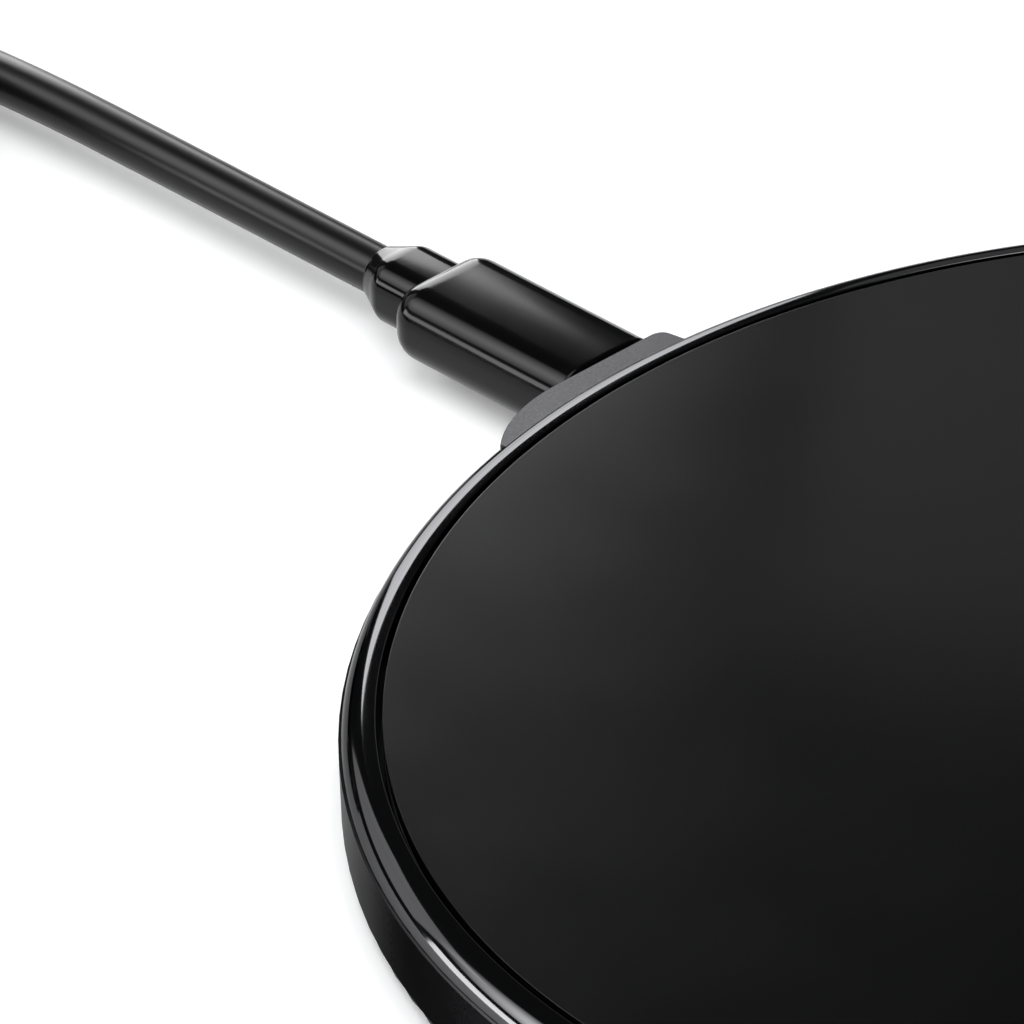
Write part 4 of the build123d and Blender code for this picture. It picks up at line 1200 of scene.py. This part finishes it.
@dataclass
class Screw:
    """A pan-head screw with a cross drive, its seat at the origin and its head up."""

    shank: float
    grip: float
    head: float
    head_height: float
    pitch: float
    drive_across: float = 0.5
    drive_depth: float = 0.45
    segments: int = 48

    def outline(self) -> Outline:
        """Half section of the screw, with its thread as ridges."""
        r, depth = self.shank / 2, 0.3 * self.pitch
        corners = [(0.0, -self.grip, 0.0), (r - depth, -self.grip, 0.0)]
        for k in range(int((self.grip - self.pitch) / self.pitch)):
            low = k * self.pitch - self.grip
            corners += [(r, low + self.pitch / 2, 0.0), (r - depth, low + self.pitch, 0.0)]
        corners += [(r, -0.6 * self.pitch, 0.0), (r, 0.0, 0.0), (self.head / 2, 0.0, 0.05),
                    (self.head / 2, self.head_height, 0.4 * self.head_height), (0.0, self.head_height, 0.0)]
        return Outline(corners, closed=False, steps=5)

    def repeated(self, name: str, node: str, seat: float, flip: float, tree: Tree, places: bpy.types.NodeSocket,
                 seed_value: int) -> bpy.types.Object:
        """Cut the drive and put a screw at each place.

        Args:
            name: the piece's name.
            node: the CAD node that it stands for.
            seat: height of the seat under the head.
            flip: turn about X, half a turn for a head that faces down.
            tree: the tree that holds the places.
            places: points at ground level.
            seed_value: seed of each screw's turn.

        Returns:
            The screws as one piece, on the pad.
        """
        body = turned(name + "_body", SCREW_STEEL, self.outline(), self.segments)
        base = body.data
        bpy.data.objects.remove(body)
        across = tree.given("Drive width", value=self.drive_across * MM)
        reach = tree.given("Drive reach", value=0.6 * self.head * MM)
        sunk = tree.given("Drive depth", value=2 * self.drive_depth * MM)
        seed = tree.given("Seed", "NodeSocketInt", seed_value)
        lift = (0.0, 0.0, self.head_height * MM)
        slots = []
        for x, y in ((reach, across), (across, reach)):
            size = tree.out("ShaderNodeCombineXYZ", {0: x, 1: y, 2: sunk})
            slot = tree.out("GeometryNodeMeshCube", {"Size": size})
            slots.append(tree.out("GeometryNodeTransform", {"Geometry": slot, "Translation": lift}))
        cross = tree.add("GeometryNodeMeshBoolean", {"Mesh 2": slots[0]}, operation="UNION")
        tree.group.links.new(slots[1], cross.inputs["Mesh 2"])
        cut = tree.out("GeometryNodeMeshBoolean", {"Mesh 1": tree.geometry, "Mesh 2": cross.outputs[0]},
                       operation="DIFFERENCE")
        spin = tree.add("FunctionNodeRandomValue", {2: 0.0, 3: 2 * math.pi, "Seed": seed}).outputs[1]
        facing = tree.out("ShaderNodeCombineXYZ", {0: flip, 2: spin})
        stood = tree.out("GeometryNodeInstanceOnPoints", {"Points": places, "Instance": cut, "Rotation": facing})
        at_seat = tree.out("GeometryNodeTransform", {"Geometry": stood, "Translation": (0.0, 0.0, seat * MM)})
        return settle(tree.bake(at_seat, base, name, SCREW_STEEL), "pad", "screw_steel", node)


def housing_screws() -> bpy.types.Object:
    """Four screws on a circle under the foot, heads down."""
    tree = Tree("screws_on_a_circle")
    count = tree.given("Screws", "NodeSocketInt", 4)
    radius = tree.given("Screw circle", value=43.0 * MM)
    first = tree.given("First bearing", "NodeSocketVector", (0.0, 0.0, math.pi / 4))
    ring = tree.out("GeometryNodeMeshCircle", {"Vertices": count, "Radius": radius})
    places = tree.out("GeometryNodeTransform", {"Geometry": ring, "Rotation": first})
    screw = Screw(2.0, 3.0, 3.6, 0.9, 0.45)
    return screw.repeated("case_screws", "housing_screws", 1.9, math.pi, tree, places, 3)


def board_screws() -> bpy.types.Object:
    """Four screws at the board's corners, heads up."""
    tree = Tree("screws_on_a_grid")
    wide = tree.given("Across", value=43.6 * MM)
    deep = tree.given("Along", value=13.382 * MM)
    centre = tree.given("Centre", "NodeSocketVector", (0.0, 38.195 * MM, 0.0))
    grid = tree.out("GeometryNodeMeshGrid", {"Size X": wide, "Size Y": deep, "Vertices X": 2, "Vertices Y": 2})
    places = tree.out("GeometryNodeTransform", {"Geometry": grid, "Translation": centre})
    screw = Screw(1.6, 1.9, 3.0, 0.7, 0.35)
    return screw.repeated("circuit_screws", "board_screws", 3.0, 0.0, tree, places, 5)


@dataclass
class ContactRow:
    """A row of plated strips: one strip repeated along a line."""

    name: str
    node: str
    body: str
    centre: float
    start: float
    end: float
    low: float
    thickness: float
    width: float
    pitch: float
    count: int

    def build(self) -> bpy.types.Object:
        """Make the row.

        Returns:
            The strips as one piece.
        """
        grip = Grip(self.centre, self.low + self.thickness / 2, 3)
        soft = 0.3 * self.thickness
        bar = grip.bar(self.start, self.end, self.width, self.thickness, soft, soft, soft)
        strip = grip.moulded(self.name + "_strip", GOLD, bar)
        base = strip.data
        bpy.data.objects.remove(strip)
        tree = Tree("contact_row")
        count = tree.given("Contacts", "NodeSocketInt", self.count)
        pitch = tree.given("Pitch", value=self.pitch * MM)
        first = tree.given("First", "NodeSocketVector", ((1 - self.count) / 2 * self.pitch * MM, 0.0, 0.0))
        step = tree.out("ShaderNodeCombineXYZ", {"X": pitch})
        line = tree.out("GeometryNodeMeshLine", {"Count": count, "Start Location": first, "Offset": step})
        row = tree.out("GeometryNodeInstanceOnPoints", {"Points": line, "Instance": tree.geometry})
        return settle(tree.bake(row, base, self.name, GOLD), self.body, "contact", self.node)


CONTACT_ROWS = (
    ContactRow("plug_contact_row", "plug_contacts", "lead", 0.0, 54.15, 58.7, 3.79, 0.08, 0.3, 0.65, 5),
    ContactRow("socket_contact_row", "socket_contacts", "pad", 0.0, 53.35, 56.65, 3.905, 0.08, 0.3, 0.65, 5),
    ContactRow("supply_contact_row", "supply_plug_contacts", "lead", -42.0, 87.5, 95.5, 3.75, 0.12, 1.0, 2.3, 4),
)


def main() -> None:
    """Build the camera and the cord first, then the rest."""
    view = Viewpoint()
    view.place()
    lead = Lead()
    cable = lead.build()
    Studio().build(view.target)
    Housing().build()
    PortLug().build()
    DEVICE_PLUG.build()
    supply = SUPPLY_PLUG.build()
    tie = CableTie().build()
    Winding().build()
    housing_screws()
    board_screws()
    rows = [row.build() for row in CONTACT_ROWS]
    for name, finish in CARRIED_OVER.items():
        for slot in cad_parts[name].material_slots:
            slot.material = finish.material()


if __name__ == "__main__":
    logging.basicConfig(level=logging.INFO, format="%(message)s")
    main()
